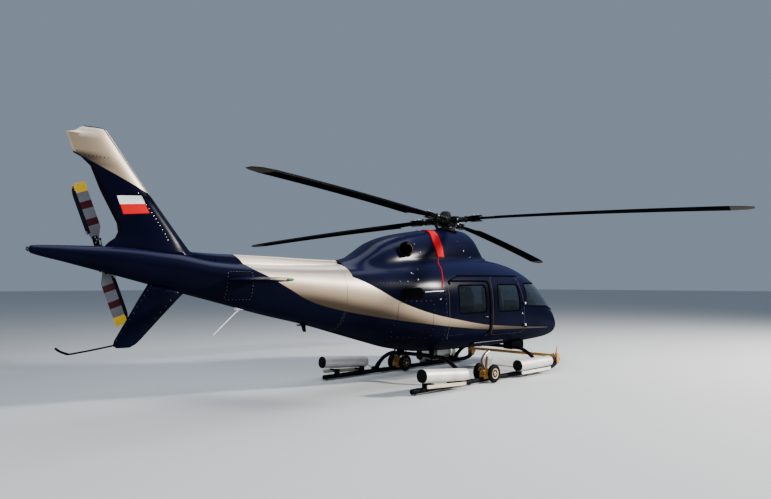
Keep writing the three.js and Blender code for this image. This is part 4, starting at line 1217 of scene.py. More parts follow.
def windshield_seal(name):
    """The rubber round a windshield: the side edges on the skin, and the post's edge."""
    side_edge = [(3.26, 1.20), (2.600, 1.320), (1.690, 1.355), (1.683, 1.825), (2.60, 1.835)]
    flat = evenly([tuple(v) for v in rounded(side_edge, WINDSHIELD_CORNER)], 0.02)
    points = np.array([(x, -side_y(x, z), z) for x, z in flat if side_y(x, z) > 0.10])
    post_y = -CENTRE_POST - 0.004
    top = [(x, 1.838) for x in steps(points[-1][0], 2.655, 0.01)[1:]]
    arc = [(x, -max(side_y(x, z), -post_y), z) for x, z in top if side_y(x, z) > 0.03]
    post = [(x, post_y, float(BODY_SKIN(x)[1]) - 0.0005) for x in steps(2.664, 3.36, 0.02)]
    lower = [(x, -side_y(x, z), z) for x, z in ((3.345, 1.17), (3.31, 1.185))]
    ring = evenly(np.array([*points, *arc, *post, *lower]), 0.02, closed=True)
    ups = gradient(body_level, ring)
    return sweep(name, ring, bead(0.03, 0.005, 0.012), "seal", ups, loop=True)


def louvres(name):
    """A black vent panel with slats, on the rear fuselage below the cowling."""
    area = [tuple(p) for p in rounded(LOUVRE_AREA, 0.05)]
    rows, columns = 12, 30
    skin_points, faces = [], []
    lefts, rights = [], []
    zs = [p[1] for p in area]
    closed_area = [*area, area[0]]
    for z in np.linspace(min(zs) + 0.002, max(zs) - 0.002, rows):
        crossings = []
        for (x0, z0), (x1, z1) in zip(closed_area, closed_area[1:]):
            if (z0 - z) * (z1 - z) < 0:
                crossings.append(x0 + (x1 - x0) * (z - z0) / (z1 - z0))
        lefts.append((min(crossings), z))
        rights.append((max(crossings), z))
    for (x0, z), (x1, _) in zip(lefts, rights):
        for x in np.linspace(x0, x1, columns):
            skin_points.append((x, -side_y(x, z), z))
    skin_points = np.array(skin_points)
    ups = gradient(body_level, skin_points)
    top, bottom = skin_points + ups * 0.003, skin_points - ups * 0.004
    for r in range(rows - 1):
        for c in range(columns - 1):
            a = r * columns + c
            faces.append((a, a + 1, a + columns + 1, a + columns))
    count = len(skin_points)
    faces += [tuple(count + i for i in face[::-1]) for face in faces]
    rim = [*range(columns), *(columns - 1 + columns * r for r in range(1, rows))]
    rim += [*range(count - 2, count - columns - 1, -1), *(columns * r for r in range(rows - 2, 0, -1))]
    faces += [(a, b, b + count, a + count) for a, b in zip(rim, [*rim[1:], rim[0]])]
    parts = [tidy_mesh(add_mesh("backing", [*top, *bottom], faces, "black"))]
    for i in range(1, rows - 1):
        (x0, z), (x1, _) = lefts[i], rights[i]
        line = [(x, z) for x in steps(x0 + 0.025, x1 - 0.025, 0.04)]
        points, slat_ups = on_side(line, -1)
        slat_ups = unit(slat_ups + (0, 0, -0.7))
        parts.append(sweep(
            "slat", points, ((-0.006, 0), (0.006, 0), (0.004, 0.014), (-0.002, 0.016)), "black", slat_ups
        ))
    parts.append(trim("frame", area, -1, bead(0.016, 0.006), "black", 0.0, True))
    parts.append(trim("lip", VENT_LIP, -1, bead(0.009, 0.006), "metal"))
    return joined(name, parts)


# Fasteners that glint: their heads are pale, as painted glints.
GLINTING_FASTENERS = (
    (-0.052, 2.658), (0.089, 2.477), (-1.367, 2.551), (-1.286, 2.399), (-1.502, 2.077), (-2.003, 1.864),
    (-1.840, 1.861), (-1.125, 1.541), (-1.667, 1.992), (0.302, 2.356), (0.932, 2.249), (1.577, 1.940),
)
WHITE_MARKS = ((-1.691, 2.009), (-1.587, 1.896))


def fasteners(name):
    """The flush fasteners of the right-hand skin: a few whose pale heads are painted glints, and rows of dim
    ones.
    """
    rows = [(x, 0.875) for x in steps(-0.89, -0.47, 0.045)]
    rows += [(x, 2.245) for x in steps(-1.63, -1.05, 0.058)]
    rows += [(BOOM_JOINT_X + dx, z) for z in steps(1.16, 2.05, 0.06) for dx in (-0.03, 0.03)]
    rows += [(BULKHEAD_X - 0.02, z) for z in steps(0.66, 2.02, 0.08)]
    rows += [(x, 1.834) for x in steps(-2.44, -1.69, 0.075)]
    parts = []
    for places, radius, paint in (
        (GLINTING_FASTENERS, 0.0065, "bright"), (WHITE_MARKS, 0.012, "white"), (rows, 0.005, "rivet")
    ):
        points = np.array([(x, -upper_y(x, z), z) for x, z in places])
        parts.append(studs(name, points, gradient(upper_level, points), radius, 0.0016, paint))
    return joined(name, parts)


class HELI_OT_hull_trim(bpy.types.Operator):
    """Add the hinges, seals, rails, handles, vents and fasteners of the hull"""

    bl_idname = "heli.hull_trim"
    bl_label = "Hull trim"

    def execute(self, context):
        both_sides(lambda name: hinge_parts(False), "navy_paint", "door_hinge_lugs")
        both_sides(lambda name: hinge_parts(True), "navy_paint", "door_hinge_knuckles", body=FRONT_DOOR_BODY)
        rubber = "black_trim"
        both_sides(
            window_seal(FRONT_WINDOW, WINDOW_CORNER), rubber, "front_window_seal", body=FRONT_DOOR_BODY
        )
        both_sides(window_seal(SLIDING_WINDOW, WINDOW_CORNER), rubber, "sliding_window_seal")
        both_sides(windshield_seal, rubber, "windshield_seal")

        def upper_seal(name):
            return trim(name, UPPER_SEAL, -1, bead(0.034, 0.016, 0.008), "seal", 0.09)

        def gutter(name):
            rail = trim("rail", GUTTER, -1, bead(0.020, 0.018), "seal")
            drip = trim("drip", [(x, z - 0.016) for x, z in GUTTER], -1, bead(0.006, 0.006), "seal")
            end = trim("end", GUTTER_END, -1, bead(0.016, 0.012), "seal")
            return joined(name, [rail, drip, end])

        both_sides(upper_seal, rubber, "sliding_door_seal")
        both_sides(gutter, rubber, "rain_gutter")
        both_sides(
            lambda name: handle(name, 1.475, 1.195), "dark_metal", "front_door_handle", body=FRONT_DOOR_BODY
        )
        both_sides(lambda name: handle(name, 0.205, 1.180), "dark_metal", "sliding_door_handle")
        both_sides(louvres, rubber, "side_vent")
        both_sides(fasteners, "dark_metal", "skin_fasteners")
        return {"FINISHED"}


# Tail surfaces

# Columns: height, leading edge x, trailing edge x, thickness
FIN = (
    (2.180, -5.480, -6.760, 0.215), (2.300, -5.600, -6.740, 0.190), (2.360, -5.650, -6.680, 0.178),
    (2.410, -5.692, -6.610, 0.170), (2.490, -5.757, -6.574, 0.160), (2.600, -5.845, -6.592, 0.150),
    (2.765, -5.976, -6.681, 0.140), (3.010, -6.170, -6.812, 0.128), (3.300, -6.394, -6.935, 0.116),
    (3.400, -6.468, -7.050, 0.112), (3.440, -6.498, -7.140, 0.110), (3.690, -6.686, -7.232, 0.100),
    (3.712, -6.702, -7.140, 0.092), (3.770, -6.745, -7.070, 0.070), (3.795, -6.790, -7.010, 0.040),
)
VENTRAL_FIN = (
    (1.000, -6.390, -6.560, 0.040), (1.040, -6.310, -6.608, 0.072), (1.100, -6.245, -6.592, 0.080),
    (1.365, -5.989, -6.436, 0.092), (1.600, -5.755, -6.300, 0.105), (1.800, -5.545, -6.177, 0.120),
    (1.950, -5.420, -6.100, 0.130),
)
TAIL_SKID = (
    (-6.540, 0, 1.048), (-6.765, 0, 1.015), (-7.003, 0, 0.984), (-7.141, 0, 0.971), (-7.232, 0, 1.010),
    (-7.289, 0, 1.054),
)
# Columns: distance out, leading edge x, trailing edge x, thickness
STABILISER = (
    (0.120, -4.640, -5.160, 0.095), (0.400, -4.660, -5.160, 0.085), (1.000, -4.740, -5.170, 0.068),
    (1.340, -4.790, -5.178, 0.058), (1.400, -4.808, -5.176, 0.052), (1.430, -4.845, -5.160, 0.040),
    (1.440, -4.880, -5.145, 0.020),
)
STABILISER_Z = 1.880
# Columns: x, half width, top z
SHAFT_COVER = (
    (-5.560, 0.060, 2.270), (-5.300, 0.095, 2.258), (-4.800, 0.120, 2.250), (-4.200, 0.135, 2.240),
    (-3.500, 0.145, 2.222), (-2.960, 0.150, 2.215),
)
FIN_PAINT_LINE = ((-7.074, 3.429), (-6.160, 2.995))
PATCH = ((-6.610, 2.953), (-6.304, 2.976), (-6.192, 2.754), (-6.522, 2.722))
PATCH_SPLIT = ((-6.576, 2.846), (-6.248, 2.875))
LEADING_SEAM = ((-5.800, 2.490), (-6.780, 3.770))
SEAM_FOOT = 2.45
# The line and heights that bound a near-black strip along the fin's rear: painted shade where the rear turns
# from the light.
TRAILING_SHADE_EDGE = ((-6.555, 2.600), (-6.890, 3.300))
TRAILING_SHADE_SPAN = (2.50, 3.36)
FIN_CAP_Z = 3.779


def wing_section(count=14):
    """A thin symmetrical wing's outline as [share of chord, share of half thickness]."""
    share = (1 - np.cos(np.linspace(0, np.pi, count))) / 2
    shape = 2.969 * np.sqrt(share) - 1.26 * share - 3.516 * share**2 + 2.843 * share**3 - 1.015 * share**4
    upper = np.stack([share, np.maximum(shape, 0.06)], -1)
    upper[0, 1] = 0
    return np.vstack([upper, (upper * (1, -1))[1:][::-1]])


def densified(rows, spacing):
    """Adds straight in-between rows to a table."""
    rows = np.asarray(rows, float)
    at = [rows[:1]]
    for a, b in zip(rows, rows[1:]):
        count = max(1, int(math.ceil(abs(b[0] - a[0]) / spacing)))
        at.append(a + (b - a) * (np.arange(1, count + 1) / count)[:, None])
    return np.vstack(at)


def wing(name, rows, place, materials, spacing=0.05):
    """Lofts wing sections; place turns [chordwise x, thickness, row] into a point."""
    section = wing_section()
    rings = []
    for at, lead, trail, thick in densified(rows, spacing):
        rings.append([place(lead + (trail - lead) * u, v * thick / 2, at) for u, v in section])
    return loft(name, rings, materials, angle=30)


def line_mask(x, z, start, end):
    """1 above a side-view line, softened at its edge."""
    slope = (end[1] - start[1]) / (end[0] - start[0])
    return (z - start[1] - (x - start[0]) * slope).rise(-PAINT_EDGE, PAINT_EDGE)


def beside_mask(x, z, start, end):
    """1 in front of a steep side-view line, softened at its edge."""
    slope = (end[0] - start[0]) / (end[1] - start[1])
    return (x - start[0] - (z - start[1]) * slope).rise(-PAINT_EDGE, PAINT_EDGE)


def fin_mask(paint, x, y, z):
    return line_mask(x, z, *FIN_PAINT_LINE)


def fin_spots(paint, x, y, z):
    """The two-colour patch on each side of the fin, its dark seam, a near-black strip along its rear as
    painted shade, and the cap on top.
    """
    rear, front = beside_mask(x, z, PATCH[0], PATCH[3]), beside_mask(x, z, PATCH[1], PATCH[2])
    foot, top = line_mask(x, z, PATCH[3], PATCH[2]), line_mask(x, z, PATCH[0], PATCH[1])
    inside = rear * (1 - front) * (1 - top) * foot
    upper = line_mask(x, z, *PATCH_SPLIT)
    cap = (z - FIN_CAP_Z).rise(-PAINT_EDGE, PAINT_EDGE)
    lip = abs(line_distance(x, z, *LEADING_SEAM)).rise(0.007, 0.010)
    # Painted shade: the fin's rear strip is near black.
    strip = 1 - beside_mask(x, z, *TRAILING_SHADE_EDGE)
    return (
        (inside * upper, (0.95, 0.95, 0.95)),
        (inside * (1 - upper), (0.58, 0.002, 0.008)),
        (cap, (0.006, 0.006, 0.008)),
        ((1 - lip) * (z - SEAM_FOOT).rise(0, 0.01), (0.01, 0.01, 0.012)),
        (
            strip * (z - TRAILING_SHADE_SPAN[0]).rise(0, 0.01) * (TRAILING_SHADE_SPAN[1] - z).rise(0, 0.05),
            (0.002, 0.002, 0.003),
        ),
    )


def line_distance(x, z, start, end):
    """Signed distance from a side-view line."""
    run, rise = end[0] - start[0], end[1] - start[1]
    length = math.hypot(run, rise)
    return (x - start[0]) * (rise / length) - (z - start[1]) * (run / length)


def fin_points(rows, share, spacing, side):
    """Points on a fin's side at a share of its chord, with their outward directions."""
    section = wing_section(40)[:40]
    thick_at = np.interp(share, section[:, 0], section[:, 1])
    rows = densified(rows, spacing)
    points = [
        (lead + (trail - lead) * share, side * thick / 2 * thick_at, z)
        for z, lead, trail, thick in rows
    ]
    return np.array(points), np.tile((0.0, side, 0.0), (len(points), 1))


class HELI_OT_tail_surfaces(bpy.types.Operator):
    """Build the fins, the stabilisers, the tail skid and the drive shaft cover"""

    bl_idname = "heli.tail_surfaces"
    bl_label = "Tail surfaces"

    def execute(self, context):
        def upright(x, across, z):
            return (x, across, z)

        boom = bpy.data.objects["boom_skin"]
        rear = bpy.data.objects["rear_shell"]
        fin = wing("fin", FIN, upright, "fin_livery")
        fitted(carved(fin, boom, keep=True), "airframe", "navy_paint", "vertical_fin")
        ventral = wing("lower_fin", VENTRAL_FIN, upright, "navy")
        fitted(carved(ventral, boom, keep=True), "airframe", "navy_paint", "ventral_fin")
        skid = tube("tail_skid_rod", TAIL_SKID, 0.011, "black", 12)
        shoe = tube("shoe", TAIL_SKID[3:], 0.014, "black", 12)
        socket = rod((-6.52, 0, 1.051), (-6.60, 0, 1.040), 0.018, "black", chamfer=0.003)
        fitted(joined("tail_skid_rod", [skid, shoe, socket]), "airframe", "dark_metal", "tail_skid")

        for name, side in SIDES:
            def outward(x, across, out, side=side):
                return (x, side * out, STABILISER_Z + across)

            half = wing(f"stabiliser_{name}_wing", STABILISER, outward, "stabiliser_livery")
            fitted(carved(half, boom, keep=True), "airframe", "navy_paint", f"stabiliser_{name}")

        shares = np.linspace(-1, 1, 25)
        rows = Columns(SHAFT_COVER)
        rings = []
        for x in steps(-5.56, -2.96, 0.04):
            half, top = rows(x)
            arch = [(x, s * half, top - 0.15 * abs(s) ** 3.2) for s in shares]
            rings.append([*arch, (x, half, 2.0), (x, -half, 2.0)])
        cover = loft("shaft_cover", rings, "cover_livery")
        carved(cover, boom, rear, fin, keep=True)
        fitted(smooth_edges(cover), "airframe", "champagne_paint", "driveshaft_cover")

        studded = []
        front_rows = [row for row in FIN if 2.40 < row[0] < 3.40]
        for side in (-1, 1):
            for rows, share, spacing, radius, paint in (
                # The row at a quarter of the chord has pale heads: painted glints along the fin's leading
                # edge.
                (front_rows[:-1], 0.27, 0.055, 0.0060, "bright"),
                (VENTRAL_FIN[3:-1], 0.20, 0.10, 0.0065, "rivet"),
                (VENTRAL_FIN[1:-1], 0.92, 0.09, 0.0045, "rivet"),
            ):
                points, ups = fin_points(rows, share, spacing, side)
                studded.append(studs("rivets", points, ups, radius, 0.002, paint))
            dashes = np.array([(x, side * 0.053, 3.420) for x in steps(-7.02, -6.69, 0.045)])
            outward = np.tile((0.0, side, 0.0), (len(dashes), 1))
            studded.append(studs("dashes", dashes, outward, 0.007, 0.002, "seal"))
        fitted(joined("fin_rivets", studded), "airframe", "dark_metal")
        return {"FINISHED"}


# Rotors

# Columns: radius, distance of the leading edge ahead of the blade's axis, chord, thickness
BLADE = (
    (0.620, 0.078, 0.150, 3.2), (0.760, 0.084, 0.190, 2.0), (1.170, 0.092, 0.272, 1.2),
    (1.180, 0.092, 0.335, 1.0), (2.200, 0.090, 0.335, 1.0), (4.300, 0.086, 0.335, 0.9),
    (5.080, 0.084, 0.335, 0.85), (5.300, 0.055, 0.270, 0.8), (5.415, -0.020, 0.150, 0.8),
)
BLADE_ROOT, BLADE_TIP = BLADE[0][0], BLADE[-1][0]
BLADE_TWIST = 8.0
BLADE_DROOP = 0.225
BLADE_THICKNESS = 1.24                # of the wing section's half thickness, in tenths of the chord
TIP_PAINT_START = 5.08
EROSION_START = 1.30
EROSION_WIDTH = 0.03
FIRST_BLADE = 12.3
BLADES = 4
MAST_RADIUS = 0.055
SERVO_REACH = 0.145                   # from the mast's axis to each of the three servos
SERVO_RADIUS = 0.034
FIRST_SERVO = 100
# Columns: radius, leading edge, trailing edge, thickness; the tail blade's colour bands follow
TAIL_BLADE = (
    (0.1505, -0.024, 0.036, 2.2), (0.260, -0.048, 0.072, 1.4), (0.360, -0.082, 0.123, 1.1),
    (0.780, -0.082, 0.123, 0.9), (0.840, -0.080, 0.123, 0.88), (0.880, -0.073, 0.123, 0.86),
    (0.915, -0.060, 0.123, 0.84), (0.942, -0.040, 0.123, 0.8), (0.960, -0.014, 0.122, 0.75),
    (0.970, 0.020, 0.120, 0.7),
)
TAIL_EDGE = -0.030                    # the black strip runs from the leading edge to here
TAIL_BANDS = ((0.400, 0), (0.490, 1), (0.627, 0), (0.720, 1), (0.845, 0), (0.980, 2))
TAIL_LEAN = 20.5


# Round parts of the rotor head as [radius, height over the rotor's centre]
HUB_PROFILE = (
    (0.090, -0.110), (0.140, -0.110), (0.150, -0.104), (0.178, -0.068), (0.185, -0.055), (0.185, 0.040),
    (0.178, 0.052), (0.126, 0.080), (0.118, 0.090), (0.104, 0.145), (0.098, 0.160), (0.062, 0.187),
    (0.020, 0.194),
)
SWASHPLATE_PROFILE = (
    (0.080, -0.225), (0.170, -0.232), (0.190, -0.230), (0.203, -0.216), (0.205, -0.186), (0.192, -0.168),
    (0.120, -0.166), (0.084, -0.172),
)
DISH_PROFILE = ((0.060, -0.262), (0.225, -0.262), (0.2285, -0.258), (0.229, -0.290), (0.060, -0.300))
BOOT_PROFILE = (
    (0.062, -0.258), (0.105, -0.262), (0.098, -0.268), (0.110, -0.278), (0.100, -0.286), (0.115, -0.298),
    (0.062, -0.300),
)


def droop_at(radius):
    share = max(radius - BLADE_ROOT, 0) / (BLADE_TIP - BLADE_ROOT)
    return BLADE_DROOP * (0.47 * share + 0.53 * share**1.8)


def main_blade(name):
    """One blade along +X of the rotor's own frame, with its tip cap and leading strip."""
    section = wing_section(16)
    rings = []
    for radius, lead, chord, thick in densified(BLADE, 0.08):
        twist = math.radians(BLADE_TWIST * (1 - radius / BLADE_TIP) - 1)
        c, s = math.cos(twist), math.sin(twist)
        ring = []
        for u, v in section:
            back, up = lead - u * chord, v * chord * thick * BLADE_THICKNESS / 20
            ring.append((radius, back * c - up * s, back * s + up * c - droop_at(radius)))
        rings.append(ring)
    blade = loft(name, rings, ("blade", "blade_tip", "erosion"), angle=25)
    for face in blade.data.polygons:
        x, y, _ = np.array(face.center) - (MAST_X, 0, 0)
        lead = np.interp(x, [r[0] for r in BLADE], [r[1] for r in BLADE])
        if x > TIP_PAINT_START:
            face.material_index = 1
        elif x > EROSION_START and y > lead - EROSION_WIDTH:
            face.material_index = 2
    return blade


def blade_grip():
    """The forged cuff that holds a blade, with its bolts and pitch horn."""
    path = [
        (x, 0.001, z)
        for x, z in ((0.50, -0.004), (0.53, -0.004), (0.60, -0.005), (0.68, -0.008), (0.735, -0.012))
    ]
    cuff = sweep("cuff", path, rounded_section(0.146, 0.100), "black", sizes=[0.80, 0.96, 1.0, 0.97, 0.82])
    strap = [
        rounded_block("strap", (0.57, -0.055, top - 0.011), (0.80, 0.058, top + 0.003), 0.004, "hub_metal")
        for top in (0.046, -0.052)
    ]
    bolts = []
    for x in (0.625, 0.715):
        for top in (0.052, -0.062):
            bolts.append(rod((x, 0.0, top), (x, 0.0, top + 0.016), 0.020, "metal", sides=6, chamfer=0.003))
        bolts.append(rod((x, 0.0, 0.066), (x, 0.0, 0.082), 0.011, "metal", sides=12, chamfer=0.002))
    horn = tube(
        "horn", [(0.53, -0.06, -0.02), (0.46, -0.105, -0.03), (0.345, -0.115, -0.022)], 0.017, "hub_metal"
    )
    ball = turned("ball", ball_profile(0.024), 20, "metal")
    moved(ball, Matrix.Translation((0.33, -0.11, -0.02)))
    return joined("grip", [cuff, *strap, *bolts, horn, ball])


def ball_profile(radius, count=10):
    turns = [math.pi * k / count for k in range(count + 1)]
    return [(radius * math.sin(turn) or 1e-4, -radius * math.cos(turn)) for turn in turns]


def hub_arm():
    """One arm of the hub with its bearing, damper and pitch link."""
    arm = rod((0.10, 0, 0), (0.56, 0, -0.004), 0.060, "hub_metal", 0.046, 24, 0.004)
    stack = [
        rod(
            (x, 0, 0), (x + 0.010, 0, 0), 0.072 - i % 2 * 0.007, "black" if i % 2 else "hub_metal",
            sides=28, chamfer=0.002,
        )
        for i, x in enumerate(steps(0.225, 0.285, 0.0101))
    ]
    collar = rod((0.44, 0, -0.002), (0.475, 0, -0.003), 0.066, "hub_metal", sides=28, chamfer=0.005)
    body = rod((0.20, 0.098, 0.030), (0.40, 0.078, 0.024), 0.027, "hub_metal", sides=20, chamfer=0.005)
    piston = rod((0.14, 0.104, 0.032), (0.49, 0.068, 0.021), 0.012, "metal", sides=14)
    eyes = [
        rod((x, y, -0.012), (x, y, 0.060), 0.020, "hub_metal", sides=18, chamfer=0.003)
        for x, y in ((0.150, 0.103), (0.482, 0.069))
    ]
    lug = rounded_block("lug", (0.455, 0.040, 0.004), (0.505, 0.090, 0.016), 0.003, "hub_metal")
    foot = rounded_block("foot", (0.10, 0.060, 0.004), (0.175, 0.120, 0.016), 0.003, "hub_metal")
    link = rod((0.172, -0.063, -0.188), (0.318, -0.107, -0.032), 0.012, "hub_metal", sides=14)
    sleeve = rod(
        (0.205, -0.073, -0.153), (0.285, -0.097, -0.067), 0.018, "hub_metal", sides=16, chamfer=0.004
    )
    foot_ball = turned("ball", ball_profile(0.022), 20, "hub_metal")
    moved(foot_ball, Matrix.Translation((0.165, -0.061, -0.197)))
    return joined("arm", [arm, *stack, collar, body, piston, *eyes, lug, foot, link, sleeve, foot_ball])


def hub_centre():
    """The hub's forging, star plates, mast and top cap."""
    core = turned("core", HUB_PROFILE, 40, "hub_metal")
    mast = rod((0, 0, -0.40), (0, 0, -0.10), MAST_RADIUS, "hub_metal", sides=32)
    sleeve = turned(
        "sleeve", ((0.062, -0.165), (0.075, -0.160), (0.078, -0.112), (0.062, -0.108)), 32, "hub_metal"
    )
    plates = []
    for k in range(2):
        for low, high in ((0.050, 0.066), (-0.068, -0.052)):
            bar = rounded_block("bar", (-0.245, -0.062, low), (0.245, 0.062, high), 0.006, "hub_metal")
            plates.append(moved(bar, rotation(FIRST_BLADE + 90 * k, "Z")))
    bolts = []
    for k in range(16):
        angle = math.radians(FIRST_BLADE + 22.5 * k)
        reach = 0.215 if k % 4 == 0 else 0.140
        height = 0.066 if k % 4 == 0 else 0.074
        x, y = reach * math.cos(angle), reach * math.sin(angle)
        bolts.append(
            rod((x, y, height - 0.006), (x, y, height + 0.014), 0.014, "hub_metal", sides=6, chamfer=0.002)
        )
    return joined("centre", [core, mast, sleeve, *plates, *bolts])


def swashplate_parts():
    """The turning ring of the swashplate with its drive scissors."""
    ring = turned("ring", SWASHPLATE_PROFILE, 48, "hub_metal")
    carved(ring, rod((0, 0, -0.4), (0, 0, 0.1), MAST_RADIUS + 0.0025, sides=32))
    groove = sweep("groove", hoop(0.2055, 48, -0.201), circle(0.003, 8), "black", loop=True)
    parts = [ring, groove]
    for k in range(2):
        turn = rotation(FIRST_BLADE + 45 + 180 * k, "Z")
        lower = rod((0.165, 0, -0.170), (0.235, 0, -0.130), 0.014, "hub_metal", sides=12)
        upper = rod((0.235, 0, -0.130), (0.150, 0, -0.085), 0.014, "hub_metal", sides=12)
        knee = rod((0.235, -0.020, -0.130), (0.235, 0.020, -0.130), 0.018, "hub_metal", sides=16)
        parts += [moved(part, turn) for part in (lower, upper, knee)]
    return joined("swashplate_parts", parts)


def turned_quarters(make, name):
    """Four copies of a piece, one for each blade."""
    first = make()
    copies = [first] + [copy_of(first, "copy") for _ in range(BLADES - 1)]
    for k, thing in enumerate(copies):
        moved(thing, rotation(FIRST_BLADE + 360 / BLADES * k, "Z"))
    return joined(name, copies)


class HELI_OT_main_rotor(bpy.types.Operator):
    """Build the main rotor's mast, head, controls and blades"""

    bl_idname = "heli.main_rotor"
    bl_label = "Main rotor"

    def execute(self, context):
        head = joined("rotor_head", [hub_centre(), turned_quarters(hub_arm, "arms")])
        fitted(placed_on_rotor(head), "main_rotor", "dark_metal", "rotor_hub")
        fitted(placed_on_rotor(swashplate_parts()), "main_rotor", "dark_metal", "swashplate")
        blade, grip = main_blade("blade"), blade_grip()
        whole = joined("blade_with_grip", [blade, grip])
        for k in range(BLADES):
            piece = copy_of(whole, f"main_blade_{k + 1}_skin")
            placed_on_rotor(piece, FIRST_BLADE + 360 / BLADES * k)
            fitted(piece, "main_rotor", "blade_black", f"main_blade_{k + 1}")
        discard(whole)

        servos, bores = [], []
        for x, y in around(3, SERVO_REACH, FIRST_SERVO):
            servos.append(
                rod((x, y, -0.49), (x, y, -0.33), SERVO_RADIUS, "hub_metal", sides=24, chamfer=0.006)
            )
            servos.append(rod((x, y, -0.34), (x, y, -0.2375), 0.015, "metal", sides=16))
            bores.append(rod((x, y, -0.5), (x, y, 0), SERVO_RADIUS + 0.0005, sides=24))
        dish = turned("dish", DISH_PROFILE, 48, "black")
        boot = turned("boot", BOOT_PROFILE, 36, "seal")
        carved(dish, rod((0, 0, -0.4), (0, 0, 0.1), MAST_RADIUS + 0.0035, sides=32), *bores)
        controls = joined("mast_controls", [*servos, dish, boot])
        fitted(placed_on_rotor(controls), "airframe", "dark_metal")
        return {"FINISHED"}


def tail_blade(name):
    section = wing_section(16)
    table = np.array(TAIL_BLADE)
    radii = sorted({*densified(TAIL_BLADE, 0.05)[:, 0].round(4), *(band[0] for band in TAIL_BANDS[:-1])})
    rings = []
    for radius in radii:
        lead, trail, thick = (np.interp(radius, table[:, 0], table[:, k]) for k in (1, 2, 3))
        half = (trail - lead) * thick * BLADE_THICKNESS / 20
        ring = [(lead + u * (trail - lead), v * half, radius) for u, v in section]
        nearest = min(range(1, len(section) // 2), key=lambda k: abs(ring[k][0] - TAIL_EDGE))
        for k in (nearest, len(section) - nearest):
            if lead < TAIL_EDGE - 0.01:
                ring[k] = (TAIL_EDGE, *ring[k][1:])
        rings.append(ring)
    blade = loft(name, rings, ("tail_grey_shaded", "tail_red", "tail_yellow", "tail_edge"), angle=25)
    for face in blade.data.polygons:
        x, y, z = np.array(face.center) - (MAST_X, 0, 0)
        face.material_index = next((index for edge, index in TAIL_BANDS if z < edge), 2)
        if z > 0.30 and x < TAIL_EDGE:
            face.material_index = 3
    cuff = rounded_block("cuff", (-0.034, -0.020, 0.135), (0.034, 0.020, 0.262), 0.008, "black")
    bolts = [
        rod((x, -0.030, z), (x, 0.030, z), 0.010, "metal", sides=12, chamfer=0.003)
        for x, z in ((-0.014, 0.175), (0.014, 0.205), (0.0, 0.238))
    ]
    weight = rod((-0.075, 0.0, 0.300), (-0.075, 0.0, 0.345), 0.014, "metal", sides=14, chamfer=0.003)
    return joined(name, [blade, cuff, *bolts, weight])


class HELI_OT_tail_rotor(bpy.types.Operator):
    """Build the tail rotor and its gearbox"""

    bl_idname = "heli.tail_rotor"
    bl_label = "Tail rotor"

    def execute(self, context):
        centre = Matrix.Translation((TAIL_ROTOR_CENTRE.x - MAST_X, TAIL_ROTOR_CENTRE.y, TAIL_ROTOR_CENTRE.z))
        lean = rotation(-TAIL_LEAN, "Y")
        blade = tail_blade("tail_blade")
        for k in range(2):
            piece = copy_of(blade, f"tail_blade_{k + 1}_skin")
            moved(piece, centre @ lean @ rotation(180 * k, "Y"))
            fitted(piece, "tail_rotor", "tail_blade_grey", f"tail_blade_{k + 1}")
        discard(blade)

        sideways = rotation(-90, "X")
        shaft = rod((0, -0.046, 0), (0, 0.060, 0), 0.032, "metal", sides=28)
        yoke = rounded_block("yoke", (-0.046, -0.024, -0.134), (0.046, 0.024, 0.134), 0.010, "hub_metal")
        dome = (
            (0.054, 0.024), (0.055, 0.034), (0.050, 0.058), (0.038, 0.076), (0.020, 0.092), (0.004, 0.095)
        )
        cap = moved(turned("cap", dome, 32, "hub_metal"), sideways)
        collar = ((0.040, 0.030), (0.062, 0.032), (0.064, 0.046), (0.040, 0.050))
        slider = moved(turned("slider", collar, 32, "metal"), sideways)
        parts = [shaft, yoke, cap, slider]
        for sign in (-1, 1):
            parts.append(
                rod((sign * 0.060, 0.040, 0), (sign * 0.070, 0.012, sign * 0.20), 0.008, "metal", sides=12)
            )
            near, far = sorted((sign * 0.03, sign * 0.082))
            low, high = (near, 0.002, sign * 0.20 - 0.012), (far, 0.018, sign * 0.20 + 0.012)
            parts.append(rounded_block("horn", low, high, 0.004, "hub_metal"))
        hub = moved(joined("tail_hub", parts), centre @ lean)
        fitted(hub, "tail_rotor", "dark_metal", "tail_rotor_hub")

        away = -TAIL_ROTOR_CENTRE.y
        profile = (
            (0.060, away + 0.06), (0.095, away + 0.06), (0.095, -0.20), (0.088, -0.17), (0.082, -0.12),
            (0.074, -0.082), (0.066, -0.076), (0.040, -0.074), (0.039, -0.050), (0.034, -0.0485),
        )
        case = turned("gearbox_case", profile, 36, "gearbox")
        moved(case, centre @ sideways)
        carved(case, bpy.data.objects["boom_skin"], bpy.data.objects["fin"], keep=True)
        ribs = []
        for k in range(8):
            rib = rounded_block("rib", (0.070, -0.235, -0.004), (0.099, -0.105, 0.004), 0.002, "gearbox")
            ribs.append(moved(rib, centre @ rotation(45 * k, "Y")))
        nuts = [
            moved(rod((x, -0.082, z), (x, -0.070, z), 0.007, "metal", sides=6), centre)
            for x, z in around(8, 0.062, 22.5)
        ]
        plug = moved(rod((0.0, -0.14, 0.085), (0.0, -0.14, 0.115), 0.016, "metal", sides=6), centre)
        fitted(
            joined("tail_gearbox_case", [case, *ribs, *nuts, plug]), "airframe", "dark_metal",
            "tail_gearbox",
        )
        return {"FINISHED"}


# Engine bay fittings

